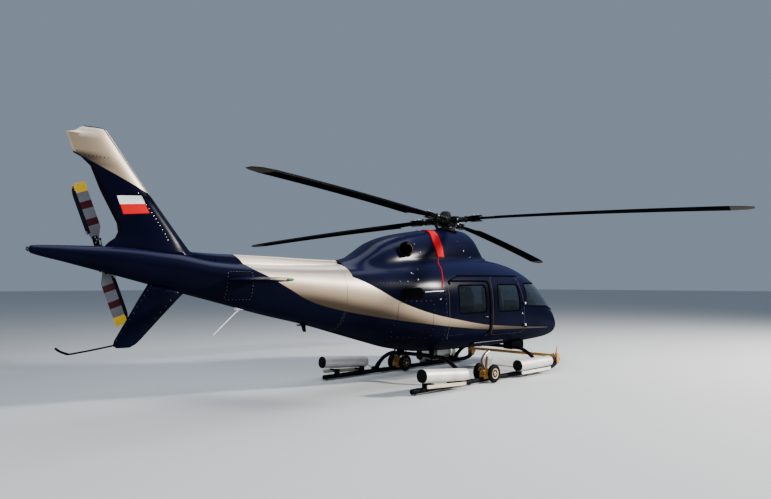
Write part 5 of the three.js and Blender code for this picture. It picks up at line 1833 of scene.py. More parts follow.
EXHAUST_PATH = ((-1.560, 0.2703, 2.380), (-1.610, 0.400, 2.410), (-1.740, 0.545, 2.440))
EXHAUST_RADIUS = 0.125
INTAKE = (
    (-0.770, 2.835), (-0.600, 2.835), (-0.640, 2.640), (-0.640, 2.330), (-0.815, 2.330), (-0.842, 2.470),
    (-0.862, 2.620),
)
COVER_OUT, COVER_IN = 0.014, 0.012
RIBBON_WIDTH = 0.026
RIBBON = ((-0.800, 2.330), (-0.860, 2.190), (-0.918, 2.055), (-0.985, 1.900), (-1.054, 1.744))


def skin_band(name, low, high, start, end, spacing=0.03):
    """A layer of the cowling's skin between two heights over it."""
    outer = loft(name, [upper_ring(x, lambda p: upper_level(p) - high) for x in steps(start, end, spacing)])
    inner = loft(
        "inside",
        [upper_ring(x, lambda p: upper_level(p) - low) for x in steps(start - 0.1, end + 0.1, spacing)],
    )
    return carved(outer, inner)


def pipe(name, path, radius, wall, materials, sides=40, sizes=None):
    """An open tube with a wall."""
    path = np.asarray(path, float)
    tangents = unit(np.gradient(path, axis=0))
    ups = carried_ups(tangents)
    across = np.cross(tangents, ups)
    sizes = np.ones(len(path)) if sizes is None else sizes

    def ring(i, reach):
        flat = circle(reach * sizes[i], sides)
        return path[i] + across[i] * flat[:, :1] + ups[i] * flat[:, 1:]

    order = range(len(path))
    rings = [ring(i, radius) for i in order] + [ring(i, radius - wall) for i in reversed(order)]
    return loft(name, rings, materials, loop=True)


def engine_openings():
    """What the engine cowling leaves free: its hollow, the exhausts and the seats of the covers."""
    hollow = [
        upper_ring(x, lambda p: upper_level(p) + 0.025)
        for x in steps(-2.45, COWLING_SPLIT_X - 0.06, 0.06)
    ]
    cutters = [loft("hollow", hollow)]
    for _, side in SIDES:
        path = curve([(x, side * y, z) for x, y, z in EXHAUST_PATH], 0.02)
        start = path[0] + (0, -side * 0.03, -0.005)
        cutters.append(sweep(
            "room", np.vstack([start, path, path[-1] * 2 - path[-2]]), circle(EXHAUST_RADIUS + 0.004, 40)
        ))
        room = skin_band("seat", -COVER_IN - SEAM, 0.08, -1.0, -0.5)
        seat = prism(grown(INTAKE, 0.002), *side_range(side, 0.06))
        cutters.append(carved(room, seat, operation="INTERSECT"))
    return cutters


def exhaust(name):
    path = curve([(x, -y, z) for x, y, z in EXHAUST_PATH], 0.012)
    sizes = np.ones(len(path))
    sizes[-3:] = (1.0, 1.012, 1.024)
    outer = pipe("outer", path, EXHAUST_RADIUS - 0.002, 0.005, "black_steel", sizes=sizes)
    liner = pipe("liner", path[:-2], EXHAUST_RADIUS - 0.0075, 0.003, ("soot", "copper_steel"))
    way = unit(path[-1] - path[-2])
    for face in liner.data.polygons:
        offset = np.array(face.center) - (MAST_X, 0, 0) - path[-1]
        if offset.dot(way) > -0.110 and (offset - way * offset.dot(way))[0] > 0.25 * EXHAUST_RADIUS:
            face.material_index = 1
    end = rod(path[0] + (0, 0.001, 0), path[0] + (0, -0.005, 0.001), EXHAUST_RADIUS - 0.012, "soot", sides=40)
    lip = path[-1] + circle_round(path[-1] - path[-2], (EXHAUST_RADIUS - 0.003) * 1.024, 48)
    rolled = sweep("lip", lip, circle(0.004, 10), "black_steel", loop=True)
    return joined(name, [outer, liner, end, rolled])


def circle_round(axis, radius, count):
    """Points of a circle about the origin, square to an axis."""
    axis = unit(np.asarray(axis, float))
    up = carried_ups(axis[None])[0]
    flat = circle(radius, count)
    return np.cross(axis, up) * flat[:, :1] + up * flat[:, 1:]


def intake_cover(name):
    """A padded red plug with its piping, which fills the intake's mouth."""
    band = skin_band(name, -COVER_IN, COVER_OUT - 0.004, -1.0, -0.5, 0.015)
    inset = grown(INTAKE, -0.002)
    carved(band, prism(inset, *side_range(-1, 0.06)), operation="INTERSECT")
    painted(band, "red_cloth")
    middle = np.array(INTAKE).mean(axis=0)
    with edited(band.data) as work:
        bmesh.ops.triangulate(work, faces=work.faces)
        bmesh.ops.subdivide_edges(work, edges=[e for e in work.edges if e.calc_length() > 0.03], cuts=2)
        for vert in work.verts:
            point = np.array(vert.co) - (MAST_X, 0, 0)
            if upper_level(point) > 0.002:
                fold = math.sin(point[2] * 34 + math.sin(point[0] * 23) * 1.6) * 0.0022
                spread = math.exp(-(((point[0] - middle[0]) / 0.14) ** 2))
                vert.co += Vector(gradient(upper_level, point[None])[0] * (fold + 0.004 * spread))
    smooth_edges(band, 50)
    edge = grown(INTAKE, -0.010)
    points, ups = on_side(edge, -1, closed=True, out=COVER_OUT - 0.004, width_at=upper_y, level=upper_level)
    piping = sweep("piping", points, circle(0.0045, 8), "red_dark", ups, loop=True)
    return joined(name, [band, piping])


class HELI_OT_engine_bay(bpy.types.Operator):
    """Add the exhausts, the intake covers with their ribbons, and the engine"""

    bl_idname = "heli.engine_bay"
    bl_label = "Engine fittings"

    def execute(self, context):
        both_sides(exhaust, "exhaust_metal", "exhaust_pipe", "exhaust")
        for thing in both_sides(intake_cover, "red_fabric", "intake_plug", "intake_cover"):
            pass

        def ribbon(name):
            flat = [(x + math.sin(z * 31) * 0.004, z) for x, z in evenly(RIBBON, 0.02)]
            points, ups = on_side(flat, -1, spacing=0.02, out=0.006, width_at=upper_y, level=upper_level)
            tilt = np.array([(math.sin(k * 0.5) * 0.25, 0, 0) for k in range(len(points))])
            return sweep(name, points, strip(RIBBON_WIDTH, 0.0012), "red_dark", ups + tilt)

        line = on_side(RIBBON, -1, width_at=upper_y)[0]
        length = float(np.linalg.norm(np.diff(line, axis=0), axis=1).sum())
        for thing in both_sides(ribbon, "red_fabric", "cover_ribbon"):
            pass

        deck = [(x, z + 0.004) for x, z in ((-1.05, 2.081), (-1.80, 1.942), (-2.12, 1.953))]
        core = plate(
            "engine_core", [*deck, (-2.10, 2.30), (-1.75, 2.36), (-1.05, 2.36)], -0.24, 0.24, "metal", 0.03,
            0.006,
        )
        case = rod((-1.95, 0, 2.20), (-1.08, 0, 2.24), 0.17, "pale_metal", 0.14, 32, 0.01)
        pipes = [
            tube("line", [(-1.9, y, 2.36), (-1.5, y * 1.15, 2.40), (-1.15, y, 2.34)], 0.012, "chrome")
            for y in (-0.12, 0.12)
        ]
        fitted(joined("engine_core", [core, case, *pipes]), "airframe", "dark_metal", "engine_block")
        return {"FINISHED"}


# Fittings on boom, roof and belly

ACCESS_PANEL = ((-5.100, 1.610), (-5.100, 1.980), (-4.745, 1.980), (-4.745, 1.610))
BAGGAGE_DOOR = ((-2.080, 0.930), (-2.080, 1.500), (-1.300, 1.500), (-1.300, 0.860))
STEP_Y = 0.860
LENSES = {"right": "green_lens", "left": "red_lens"}
LENS_Y = (1.437, 1.459)


def raised_panel(name, outline, radius, screws):
    """A thin plate on the right-hand skin, with a seam round it and screws along its edge."""
    seam = trim("seam", outline, -1, bead(0.006, 0.002), "seal", radius, True)
    inner = [tuple(p) for p in rounded(grown(outline, -0.018), radius)]
    points, ups = on_side(evenly(inner, screws, closed=True), -1, closed=True, spacing=screws)
    return joined(name, [seam, studs("screws", points, ups, 0.0055, 0.0016, "rivet")])


def boarding_step(name):
    """The tread under the doors, on two brackets."""
    tread = rounded_block(
        "tread", (-0.30, -STEP_Y - 0.055, 0.700), (0.65, -STEP_Y + 0.035, 0.722), 0.008, "black"
    )
    lip = rounded_block(
        "lip", (-0.29, -STEP_Y - 0.060, 0.706), (0.64, -STEP_Y - 0.054, 0.718), 0.002, "rivet"
    )
    grip = [
        rounded_block(
            "grip", (x, -STEP_Y - 0.045, 0.7215), (x + 0.035, -STEP_Y + 0.025, 0.7255), 0.0015, "seal"
        )
        for x in steps(-0.27, 0.58, 0.05)
    ]
    arms = [
        tube("arm", [(x, -0.70, 0.66), (x, -0.78, 0.69), (x, -STEP_Y + 0.02, 0.705)], 0.014, "black", 12)
        for x in (-0.18, 0.53)
    ]
    return joined(name, [tread, lip, *grip, *arms])


class HELI_OT_fittings(bpy.types.Operator):
    """Add aerials, lights, steps and access panels"""

    bl_idname = "heli.fittings"
    bl_label = "Outside fittings"

    def execute(self, context):
        whip = tube("whip", [(-4.770, 0, 1.452), (-4.98, 0, 1.275), (-5.194, 0, 1.090)], 0.0085, "white", 12)
        base = rounded_block("base", (-4.841, -0.030, 1.436), (-4.688, 0.030, 1.480), 0.008, "white")
        foot = rod((-4.755, 0, 1.462), (-4.82, 0, 1.405), 0.018, "white", 0.011, 16, 0.003)
        fitted(joined("rod_aerial", [whip, base, foot]), "airframe", "silver_cover")

        low_probe = plate(
            "blade_aerial", [(-3.640, 1.190), (-3.545, 1.182), (-3.530, 1.040), (-3.588, 1.052)], -0.009,
            0.009, "black", 0.01, 0.003,
        )
        low_box = rounded_block("foot", (-3.69, -0.045, 1.150), (-3.46, 0.045, 1.172), 0.006, "black")
        fitted(joined("lower_aerial", [low_probe, low_box]), "airframe", "black_trim")

        roof_z = float(BODY_SKIN(1.30)[1])
        outline = [(1.22, -0.01), (1.38, -0.03), (1.30, 0.075), (1.255, 0.080)]
        outline = [(x, roof_z + rise) for x, rise in outline]
        fitted(plate("roof_aerial", outline, -0.008, 0.008, "black", 0.012, 0.003), "airframe", "black_trim")

        lamp = turned(
            "tail_lamp", ((0.030, -0.004), (0.030, 0.006), (0.022, 0.020), (0.004, 0.026)), 24, "dial"
        )
        moved(lamp, Matrix.Translation((-7.612, 0, 2.232)) @ rotation(-90, "Y"))
        fitted(lamp, "airframe", "silver_cover")

        both_sides(
            lambda name: raised_panel(name, ACCESS_PANEL, 0.03, 0.05), "dark_metal", "boom_access_panel"
        )
        both_sides(lambda name: raised_panel(name, BAGGAGE_DOOR, 0.06, 0.11), "dark_metal", "baggage_door")
        both_sides(boarding_step, "gear_black", "boarding_step")

        belly = float(BODY_SKIN(1.8)[0])
        pod = rounded_block("pod", (1.58, -0.50, 0.425), (2.05, -0.26, belly + 0.07), 0.035, "black", 5)
        lens = rod((2.045, -0.38, 0.49), (2.056, -0.38, 0.49), 0.050, "chrome", sides=32, chamfer=0.003)
        drain = tube(
            "drain", [(-0.39, -0.45, 0.60), (-0.39, -0.46, 0.52), (-0.42, -0.46, 0.47)], 0.012, "white", 12
        )
        light_ring = rod((2.55, 0, 0.565), (2.55, 0, 0.530), 0.085, "chrome", sides=40, chamfer=0.006)
        fitted(joined("belly_fittings", [pod, lens, drain, light_ring]), "airframe", "gear_black")

        for name, side in SIDES:
            near, far = sorted(side * y for y in LENS_Y)
            low, high = (-4.95, near, STABILISER_Z - 0.012), (-4.87, far, STABILISER_Z + 0.012)
            lens = rounded_block(f"navigation_light_{name}", low, high, 0.006, LENSES[name])
            fitted(lens, "airframe", "cabin_glass")
        return {"FINISHED"}


# Cabin

PILOT_Y = 0.370
# Node, x of the seat's back, y of its middle, width, places
SEATS = (
    ("front_seat_right", 1.080, -PILOT_Y, 0.480, 1), ("front_seat_left", 1.080, PILOT_Y, 0.480, 1),
    ("rear_seat", -0.750, 0.000, 1.280, 3),
)
# Side view of a seat's shell as [x from its back, z]
SEAT_SHELL = (
    (0.080, 1.075), (0.020, 1.120), (-0.055, 1.500), (-0.080, 1.745), (-0.060, 1.745), (-0.020, 1.500),
    (0.060, 1.090), (0.550, 1.075), (0.550, 1.045), (0.080, 1.045),
)
# A shoulder belt as [x from the back, distance from the middle, z]
BELT = ((0.055, 0.10, 1.66), (0.125, 0.10, 1.45), (0.165, 0.11, 1.25), (0.270, 0.17, 1.215))
PANEL_OUTLINE = (
    (2.440, 0.803), (2.380, 1.180), (2.250, 1.420), (2.270, 1.440), (2.560, 1.440), (2.800, 1.180),
    (2.800, 0.803),
)
PANEL_FACE = (2.312, 0.0, 1.300)
BEZEL = ((0.030, 0.0), (0.048, 0.0), (0.048, 0.006), (0.043, 0.009), (0.040, 0.006), (0.030, 0.005))
DIAL = ((0.002, 0.0005), (0.040, 0.0005), (0.040, 0.004), (0.002, 0.004))


def cushion(name, size, place, tilt, channels, puff=0.16):
    """A crowned pad whose sides pull in at its corners, with sewn channels across its face."""
    work = bmesh.new()
    bmesh.ops.create_cube(work, size=2)
    bmesh.ops.subdivide_edges(work, edges=work.edges[:], cuts=15, use_grid_fill=True)
    for vert in work.verts:
        p = np.array(vert.co)
        reach = (np.abs(p) ** 5).sum() ** 0.2
        edge = np.clip(1 - np.abs(p) ** 2.2, 0, 1)
        q = p / reach
        q[2] *= 1 - puff + puff * 2 * edge[0] * edge[1]
        q[0] *= 1 - 0.03 * (1 - edge[1])
        q[1] *= 1 - 0.03 * (1 - edge[0])
        if channels and p[2] > 0:
            at = (q[1] + 1) / 2 * channels
            q[2] -= 0.10 * math.exp(-(((at - round(at)) / 0.10) ** 2)) * edge[0]
        vert.co = Vector(q * np.array(size) / 2)
    mesh = bpy.data.meshes.new(name)
    work.to_mesh(mesh)
    work.free()
    mesh.materials.append(finish("leather"))
    mesh.transform(Matrix.Translation((MAST_X, 0, 0)))
    mesh.shade_smooth()
    return moved(linked(name, mesh), Matrix.Translation(place) @ rotation(tilt, "Y"))


def seat(x, y, width, places=1):
    """A seat: its pads, shell, legs and belts."""
    pads, rigid = [], []
    each = width / places
    for k in range(places):
        at = y - width / 2 + each * (k + 0.5)
        pads.append(cushion("seat_pad", (0.46, each - 0.012, 0.13), (x + 0.33, at, 1.125), 3, 4))
        pads.append(cushion("back_pad", (0.50, each - 0.012, 0.105), (x + 0.04, at, 1.40), -97, 4))
        head_width = min(each - 0.06, 0.28)
        pads.append(cushion("head_pad", (0.16, head_width, 0.085), (x - 0.030, at, 1.685), -97, 0))
        for sign in (-1, 1):
            line = curve([(x + dx, at + sign * dy, z) for dx, dy, z in BELT], 0.03)
            ups = np.tile((0.9, 0, 0.4), (len(line), 1))
            rigid.append(sweep("belt", line, strip(0.044, 0.002), "webbing", ups))
    shell = [(x + dx, z) for dx, z in SEAT_SHELL]
    rigid.append(plate("shell", shell, y - width / 2 + 0.004, y + width / 2 - 0.004, "black", 0.008, 0.002))
    for sign in (-1, 1):
        leg_y = y + sign * (width / 2 - 0.05)
        for leg_x in (x + 0.10, x + 0.44):
            foot, top = (leg_x, leg_y, SILL_Z + 0.002), (leg_x, leg_y, 1.05)
            rigid.append(rod(foot, top, 0.014, "metal", sides=14))
        low, high = (x + 0.04, leg_y - 0.018, SILL_Z + 0.001), (x + 0.52, leg_y + 0.018, SILL_Z + 0.020)
        rigid.append(rounded_block("rail", low, high, 0.004, "metal"))
    return pads, rigid


def dial(needle_turn):
    """A round instrument that faces up, with its bezel, needle and scale."""
    needle = block((-0.0015, -0.002, 0.0041), (0.030, 0.002, 0.0052), "white", "needle")
    parts = [turned("bezel", BEZEL, 28, "metal"), turned("dial", DIAL, 28, "dial")]
    parts.append(moved(needle, Matrix.Rotation(needle_turn, 4, "Z")))
    for angle in np.linspace(0.7, 5.6, 9):
        tick = block((0.031, -0.001, 0.0041), (0.038, 0.001, 0.0048), "white", "tick")
        parts.append(moved(tick, Matrix.Rotation(angle, 4, "Z")))
    return joined("dial_parts", parts)


def instrument_panel():
    """The panel with two rows of dials, and the pedestal with its switches."""
    _, (foot_x, foot_z), (top_x, top_z), *_ = PANEL_OUTLINE
    tilt = math.atan2(foot_x - top_x, top_z - foot_z)
    face = Matrix.Translation(PANEL_FACE) @ Matrix.Rotation(tilt - math.pi / 2, 4, "Y")
    parts = [plate("panel", PANEL_OUTLINE, -0.42, 0.42, "black", 0.02, 0.004)]
    for k, y in enumerate(steps(-0.34, 0.34, 0.1133)):
        for row in (-0.048, 0.062):
            parts.append(moved(dial(0.9 * k + row * 9), face @ Matrix.Translation((row, y, 0.0))))
    parts.append(rounded_block("pedestal", (1.72, -0.11, 0.803), (2.39, 0.11, 1.02), 0.02, "black"))
    for x in steps(1.80, 2.30, 0.08):
        for y in (-0.07, -0.025, 0.025, 0.07):
            parts.append(rod((x, y, 1.02), (x, y, 1.034), 0.007, "bright", sides=10, chamfer=0.002))
    return parts


def flight_controls():
    """The stick, lever and pedals of both pilots."""
    parts = []
    for _, side in SIDES:
        y = side * PILOT_Y
        stick = [(1.90, y, 0.805), (1.94, y, 1.02), (1.83, y, 1.17), (1.80, y, 1.24)]
        lever = [(1.42, y + 0.28, 0.95), (1.62, y + 0.28, 1.06), (1.78, y + 0.28, 1.16)]
        parts += [tube("stick", stick, 0.013, "black", 12), tube("lever", lever, 0.014, "metal", 12)]
        parts.append(rod((1.805, y, 1.215), (1.785, y, 1.330), 0.020, "seal", sides=16, chamfer=0.005))
        for pedal_y in (y - 0.09, y + 0.09):
            parts.append(rod((2.30, pedal_y, 0.805), (2.25, pedal_y, 0.95), 0.010, "metal", sides=10))
            low, high = (2.225, pedal_y - 0.04, 0.93), (2.240, pedal_y + 0.04, 1.03)
            parts.append(rounded_block("pedal", low, high, 0.004, "metal"))
    return parts


class HELI_OT_cabin(bpy.types.Operator):
    """Furnish the cabin: seats, instrument panel and controls"""

    bl_idname = "heli.cabin"
    bl_label = "Cabin"

    def execute(self, context):
        for node, *measures in SEATS:
            pads, rigid = seat(*measures)
            pads = joined(f"{node}_pads", pads)
            fitted(pads, "airframe", "seat_leather", node)
            fitted(joined(f"{node}_frame", rigid), "airframe", "dark_metal")
        panel = joined("instrument_panel_parts", instrument_panel())
        fitted(panel, "airframe", "black_trim", "instrument_panel")
        fitted(joined("flight_controls", flight_controls()), "airframe", "dark_metal")
        return {"FINISHED"}


# Landing gear and floats

SKID_Y = 1.120
SKID_RADIUS = 0.045
SKID_Z = 0.062
SKID_TOP = SKID_Z + SKID_RADIUS
# The skid tube's middle line as [x, z]
SKID_PATH = (
    (-2.230, 0.062), (-1.000, 0.062), (0.600, 0.062), (1.900, 0.062), (2.120, 0.082), (2.280, 0.140),
    (2.400, 0.230),
)
CROSSTUBES = {"front": 1.650, "rear": -0.880}
CROSSTUBE = ((0, 0.478), (0.620, 0.462), (0.860, 0.370), (1.010, 0.240))
WEAR_SHOES = ((-2.150, -1.500), (-0.700, 0.300), (1.100, 1.850))
# Name, rear and front end, height of each end, radius of each end
FLOATS = (
    ("front", (0.610, 1.790), (0.240, 0.242), (0.112, 0.104)),
    ("rear", (-2.155, -1.005), (0.322, 0.240), (0.116, 0.109)),
)
FLOAT_Y = SKID_Y + 0.150
FLOAT_POWER = 0.92                    # how far a float's section is squared off
# The board under the outer side of each float: [x, z] of its rear and front end, and its finish
BOARDS = {
    "front": ((0.680, 0.100), (1.730, 0.100), "white"),
    "rear": ((-2.080, 0.148), (-1.070, 0.098), "flap"),
}
BOARD_HALF_HEIGHT = 0.028
BOARD_Y = (-1.334, -1.316)


def skid_z(x):
    return float(np.interp(x, *np.transpose(SKID_PATH)))


def skid_solid(name, y, radius, materials=()):
    path = curve([(x, y, z) for x, z in SKID_PATH], 0.03)
    return sweep(name, path, circle(radius, 28), materials)


def skid(name):
    """A skid tube with its wear shoes, straps and end caps."""
    parts = [skid_solid("runner", -SKID_Y, SKID_RADIUS, "gear_black")]
    for rear, front in WEAR_SHOES:
        tops = [(x, skid_z(x) - 0.030) for x in steps(front, rear, 0.1)]
        outline = [(rear, 0.0), (front, 0.0), *tops]
        parts.append(plate("shoe", outline, -SKID_Y - 0.026, -SKID_Y + 0.026, "metal", bevel=0.003))
        for x in steps(rear + 0.06, front - 0.06, 0.18):
            reach = SKID_RADIUS + 0.002
            turns = np.linspace(math.radians(-38), math.radians(218), 22)
            hoop = [(x, -SKID_Y + reach * math.cos(a), skid_z(x) + reach * math.sin(a)) for a in turns]
            ups = np.array(hoop) - (x, -SKID_Y, skid_z(x))
            parts.append(sweep("strap", hoop, bead(0.022, 0.0025, 0.001), "gear_black", ups))
    for (x0, z0), (x1, z1), paint in ((*SKID_PATH[1::-1], "seal"), (*SKID_PATH[-2:], "flap")):
        end, way = np.array([x1, -SKID_Y, z1]), unit(np.array([x1 - x0, 0, z1 - z0]))
        parts.append(
            rod(end - way * 0.010, end + way * 0.008, SKID_RADIUS - 0.003, paint, sides=28, chamfer=0.004)
        )
    return joined(name, parts)


def crosstube(where, x):
    """A bowed tube across, with its shoes on the skids and its saddles under the belly."""
    top = skid_z(x) + SKID_RADIUS
    half = [(x, y, z) for y, z in CROSSTUBE] + [(x, SKID_Y - 0.006, top + 0.020)]
    path = [*[(px, -y, z) for px, y, z in reversed(half[1:])], *half]
    parts = [sweep("beam", curve(path, 0.03), circle(0.038, 28), "gear_black")]
    for _, side in SIDES:
        y = side * SKID_Y
        low, high = (x - 0.080, y - 0.034, top - 0.030), (x + 0.080, y + 0.034, top + 0.045)
        saddle = rounded_block("saddle", low, high, 0.010, "gear_black", 4)
        inner, outer = (x, y - side * 0.105, top + 0.130), (x, y - side * 0.028, top + 0.030)
        sleeve = rod(inner, outer, 0.046, "gear_black", sides=28, chamfer=0.006)
        carved(saddle, skid_solid("room", y, SKID_RADIUS + SEAM))
        parts += [saddle, sleeve]
        for dx in (-0.060, 0.060):
            for dy in (-0.018, 0.018):
                foot = np.array([x + dx, y + dy, top + 0.035])
                parts.append(rod(foot, foot + (0, 0, 0.020), 0.010, "metal", sides=6, chamfer=0.002))
        yb = side * 0.420
        low, high = (x - 0.055, yb - 0.060, 0.425), (x + 0.055, yb + 0.060, 0.640)
        clamp = rounded_block("clamp", low, high, 0.010, "gear_black", 4)
        parts.append(carved(clamp, bpy.data.objects["belly"], keep=True))
        for dx in (-0.042, 0.042):
            for dy in (-0.042, 0.042):
                foot = np.array([x + dx, yb + dy, 0.412])
                parts.append(rod(foot, foot + (0, 0, 0.018), 0.011, "metal", sides=6, chamfer=0.002))
    return joined(f"crosstube_{where}_parts", parts)


def float_pack(where, ends, heights, radii):
    """A stowed float on the right: silver cover whose end faces are painted dark as shade, a board and two
    hangers.
    """
    y = -FLOAT_Y
    start, end = (np.array([x, y, z]) for x, z in zip(ends, heights))
    length = float(np.linalg.norm(end - start))
    near_ends = np.array([0.0, 0.003, 0.007, 0.012, 0.020, 0.035, 0.055])
    runs = np.concatenate([near_ends, steps(0.08, length - 0.08, 0.03), length - near_ends[::-1]])
    shares = runs / length
    path = start + (end - start) * shares[:, None]
    radius = radii[0] + (radii[1] - radii[0]) * shares
    rim = 1 - 0.10 * (1 - np.clip(runs / 0.012, 0, 1)) ** 2
    nose = 1 - 0.26 * (1 - np.clip((length - runs) / 0.055, 0, 1)) ** 2
    puckers = 1 - 0.006 * np.sin(shares * 47) ** 2 - 0.010 * (np.cos(shares * 2 * np.pi * 6) > 0.985)
    flat = circle(1.0, 48, 0.5)
    section = squared(flat, FLOAT_POWER)
    section[flat[:, 1] < -0.55, 1] *= 0.95
    ups = np.tile((0.0, 0, 1.0), (len(path), 1))
    sizes = radius * rim * nose * puckers
    pack = sweep("pack", path, section, ("silver", "cap_cloth"), ups, sizes, angle=60)
    way = (end - start) / length
    # Both end faces take the dark cloth, as painted shade.
    for face in pack.data.polygons:
        run = (np.array(face.center) - (MAST_X, 0, 0) - start).dot(way)
        if run < 0.006 or run > length - 0.010:
            face.material_index = 1
    soft = [pack]
    for share in (0.33, 0.66):
        at, reach = start + (end - start) * share, (radii[0] + (radii[1] - radii[0]) * share) * 0.992
        ring = at + np.insert(squared(circle(1.0, 60), FLOAT_POWER) * reach, 0, 0, axis=1)
        soft.append(sweep("seam", ring, bead(0.014, 0.0025, 0.003), "silver", ring - at, loop=True))
    (x0, z0), (x1, z1), paint = BOARDS[where]
    h = BOARD_HALF_HEIGHT
    outline = [(x0, z0 - h), (x0, z0 + h), (x1, z1 + h), (x1, z1 - h)]
    rigid = [plate("board", outline, *BOARD_Y, paint, 0.008, 0.003)]
    x2, x3, t = x0 + 0.02, x1 - 0.02, 0.006
    foot = [(x2, z0 - h - t), (x2, z0 - h + t), (x3, z1 - h + t), (x3, z1 - h - t)]
    rigid.append(plate("edge", foot, BOARD_Y[0] + 0.004, BOARD_Y[1] + 0.010, "rust"))
    for share in (0.22, 0.78):
        x = ends[0] + (ends[1] - ends[0]) * share
        middle = heights[0] + (heights[1] - heights[0]) * share
        reach = radii[0] + (radii[1] - radii[0]) * share
        low, high = (x - 0.028, -SKID_Y - 0.054, SKID_Z - 0.035), (x + 0.028, -SKID_Y + 0.050, 0.190)
        clamp = rounded_block("clamp", low, high, 0.008, "gear_black")
        carved(clamp, skid_solid("room", -SKID_Y, SKID_RADIUS + SEAM))
        under = middle - reach - 0.006
        low, high = (x - 0.022, BOARD_Y[1] - 0.004, under - 0.030), (x + 0.022, -SKID_Y - 0.030, under)
        arm = rounded_block("arm", low, high, 0.006, "gear_black")
        rigid += [clamp, arm]
        for dz in (-0.018, 0.018):
            at = np.array([x, BOARD_Y[0], np.interp(x, (x0, x1), (z0, z1)) + dz])
            rigid.append(rod(at + (0, 0.002, 0), at - (0, 0.004, 0), 0.006, "metal", sides=12))
    landing = (ends[1] + 0.02, -SKID_Y - 0.01, skid_z(ends[1]) + SKID_RADIUS + 0.008)
    hose = [end + (-0.02, 0.05, -0.05), end + (0.07, 0.07, -0.10), landing]
    rigid.append(tube("hose", hose, 0.008, "seal", 10))
    return joined(f"float_{where}_pack", soft), joined(f"float_{where}_rig", rigid)


class HELI_OT_landing_gear(bpy.types.Operator):
    """Build the skids, crosstubes and stowed floats"""

    bl_idname = "heli.landing_gear"
    bl_label = "Landing gear"

    def execute(self, context):
        both_sides(skid, "gear_black", "skid_runner", "skid")
        for where, x in CROSSTUBES.items():
            fitted(crosstube(where, x), "airframe", "gear_black", f"crosstube_{where}")
        for where, *measures in FLOATS:
            pack, rig = float_pack(where, *measures)
            for name, side in SIDES:
                soft = side_copy(pack, side, f"float_{where}_{name}_pack")
                hard = side_copy(rig, side, f"float_{where}_{name}_rig")
                fitted(soft, "airframe", "silver_cover", f"float_{where}_{name}")
                fitted(hard, "airframe", "gear_black")
            discard(pack, rig)
        return {"FINISHED"}


# Ground handling gear

WHEEL_X = -0.180
WHEEL_RADIUS = 0.165
WHEEL_Z = 0.175
WHEEL_OFFSET = 0.165
BEAM_X = 2.300
BEAM_Z = 0.285
# One half of each profile as [radius, distance from the wheel's middle plane]
TYRE_HALF = (
    (0.088, 0.02635), (0.100, 0.0374), (0.122, 0.0425), (0.146, 0.03825), (0.160, 0.02635),
    (WHEEL_RADIUS, 0.01275),
)
RIM_HALF = (
    (0.022, 0.026), (0.034, 0.030), (0.040, 0.022), (0.066, 0.020), (0.082, 0.030), (0.092, 0.032),
    (0.094, 0.026),
)
AXLE_RADIUS = 0.020
# Side views of the clamps as [x from the axle or the beam, z]
FRAME_CHEEK = (
    (-0.150, SKID_Z + 0.012), (-0.130, WHEEL_Z + 0.030), (-0.050, WHEEL_Z + 0.085), (0.070, WHEEL_Z + 0.085),
    (0.150, WHEEL_Z - 0.020), (0.150, SKID_Z + 0.012),
)
BEAM_CHEEK = (
    (-0.060, 0.122), (-0.060, BEAM_Z + 0.020), (-0.020, BEAM_Z + 0.058), (0.020, BEAM_Z + 0.058),
    (0.048, BEAM_Z + 0.010), (0.048, 0.180), (0.010, 0.122),
)
# The same for the middle lines of the beam's horns and of the lift arm
BEAM_HORN = ((0.010, BEAM_Z + 0.020), (0.020, 0.360), (0.045, 0.430), (0.060, 0.490))
LIFT_ARM = ((-0.060, WHEEL_Z + 0.060), (-0.150, 0.400), (-0.060, 0.520), (0.060, 0.570))
CHAIN_LINK = (0.007, 0.012)


def both_faces(half):
    """A whole profile from the half that lies on one side of its middle plane."""
    return [(r, -h) for r, h in half] + [(r, h) for r, h in half[::-1]]


def handling_wheel(offset, hub):
    """A pneumatic wheel with a treaded tyre and a pressed hub, on the axle's line."""
    tyre = turned("tyre", both_faces(TYRE_HALF), 64, "tyre")
    grooves = [
        sweep("groove", hoop(WHEEL_RADIUS + 0.0002, 64, at), circle(0.0022, 6), "black", loop=True)
        for at in (-0.014, 0.0, 0.014)
    ]
    rim = turned("rim", both_faces(RIM_HALF), 48, hub)
    nuts = [rod((x, y, -0.030), (x, y, 0.030), 0.008, "metal", sides=6) for x, y in around(5, 0.053)]
    valve = rod((0.078, 0, -0.045), (0.078, 0, -0.020), 0.004, "metal", sides=8)
    cap = rod((0, 0, -0.040), (0, 0, 0.040), 0.026, hub, sides=24, chamfer=0.006)
    wheel = joined("wheel", [tyre, *grooves, rim, *nuts, valve, cap])
    return moved(wheel, Matrix.Translation((WHEEL_X, -SKID_Y + offset, WHEEL_Z)) @ rotation(90, "X"))


def handling_wheels(name):
    wheels = [handling_wheel(-WHEEL_OFFSET, "hub_cream"), handling_wheel(WHEEL_OFFSET, "hub_rust")]
    ends = [(WHEEL_X, -SKID_Y + way * (WHEEL_OFFSET + 0.045), WHEEL_Z) for way in (-1, 1)]
    return joined(name, [*wheels, rod(*ends, AXLE_RADIUS, "metal", sides=24, chamfer=0.003)])


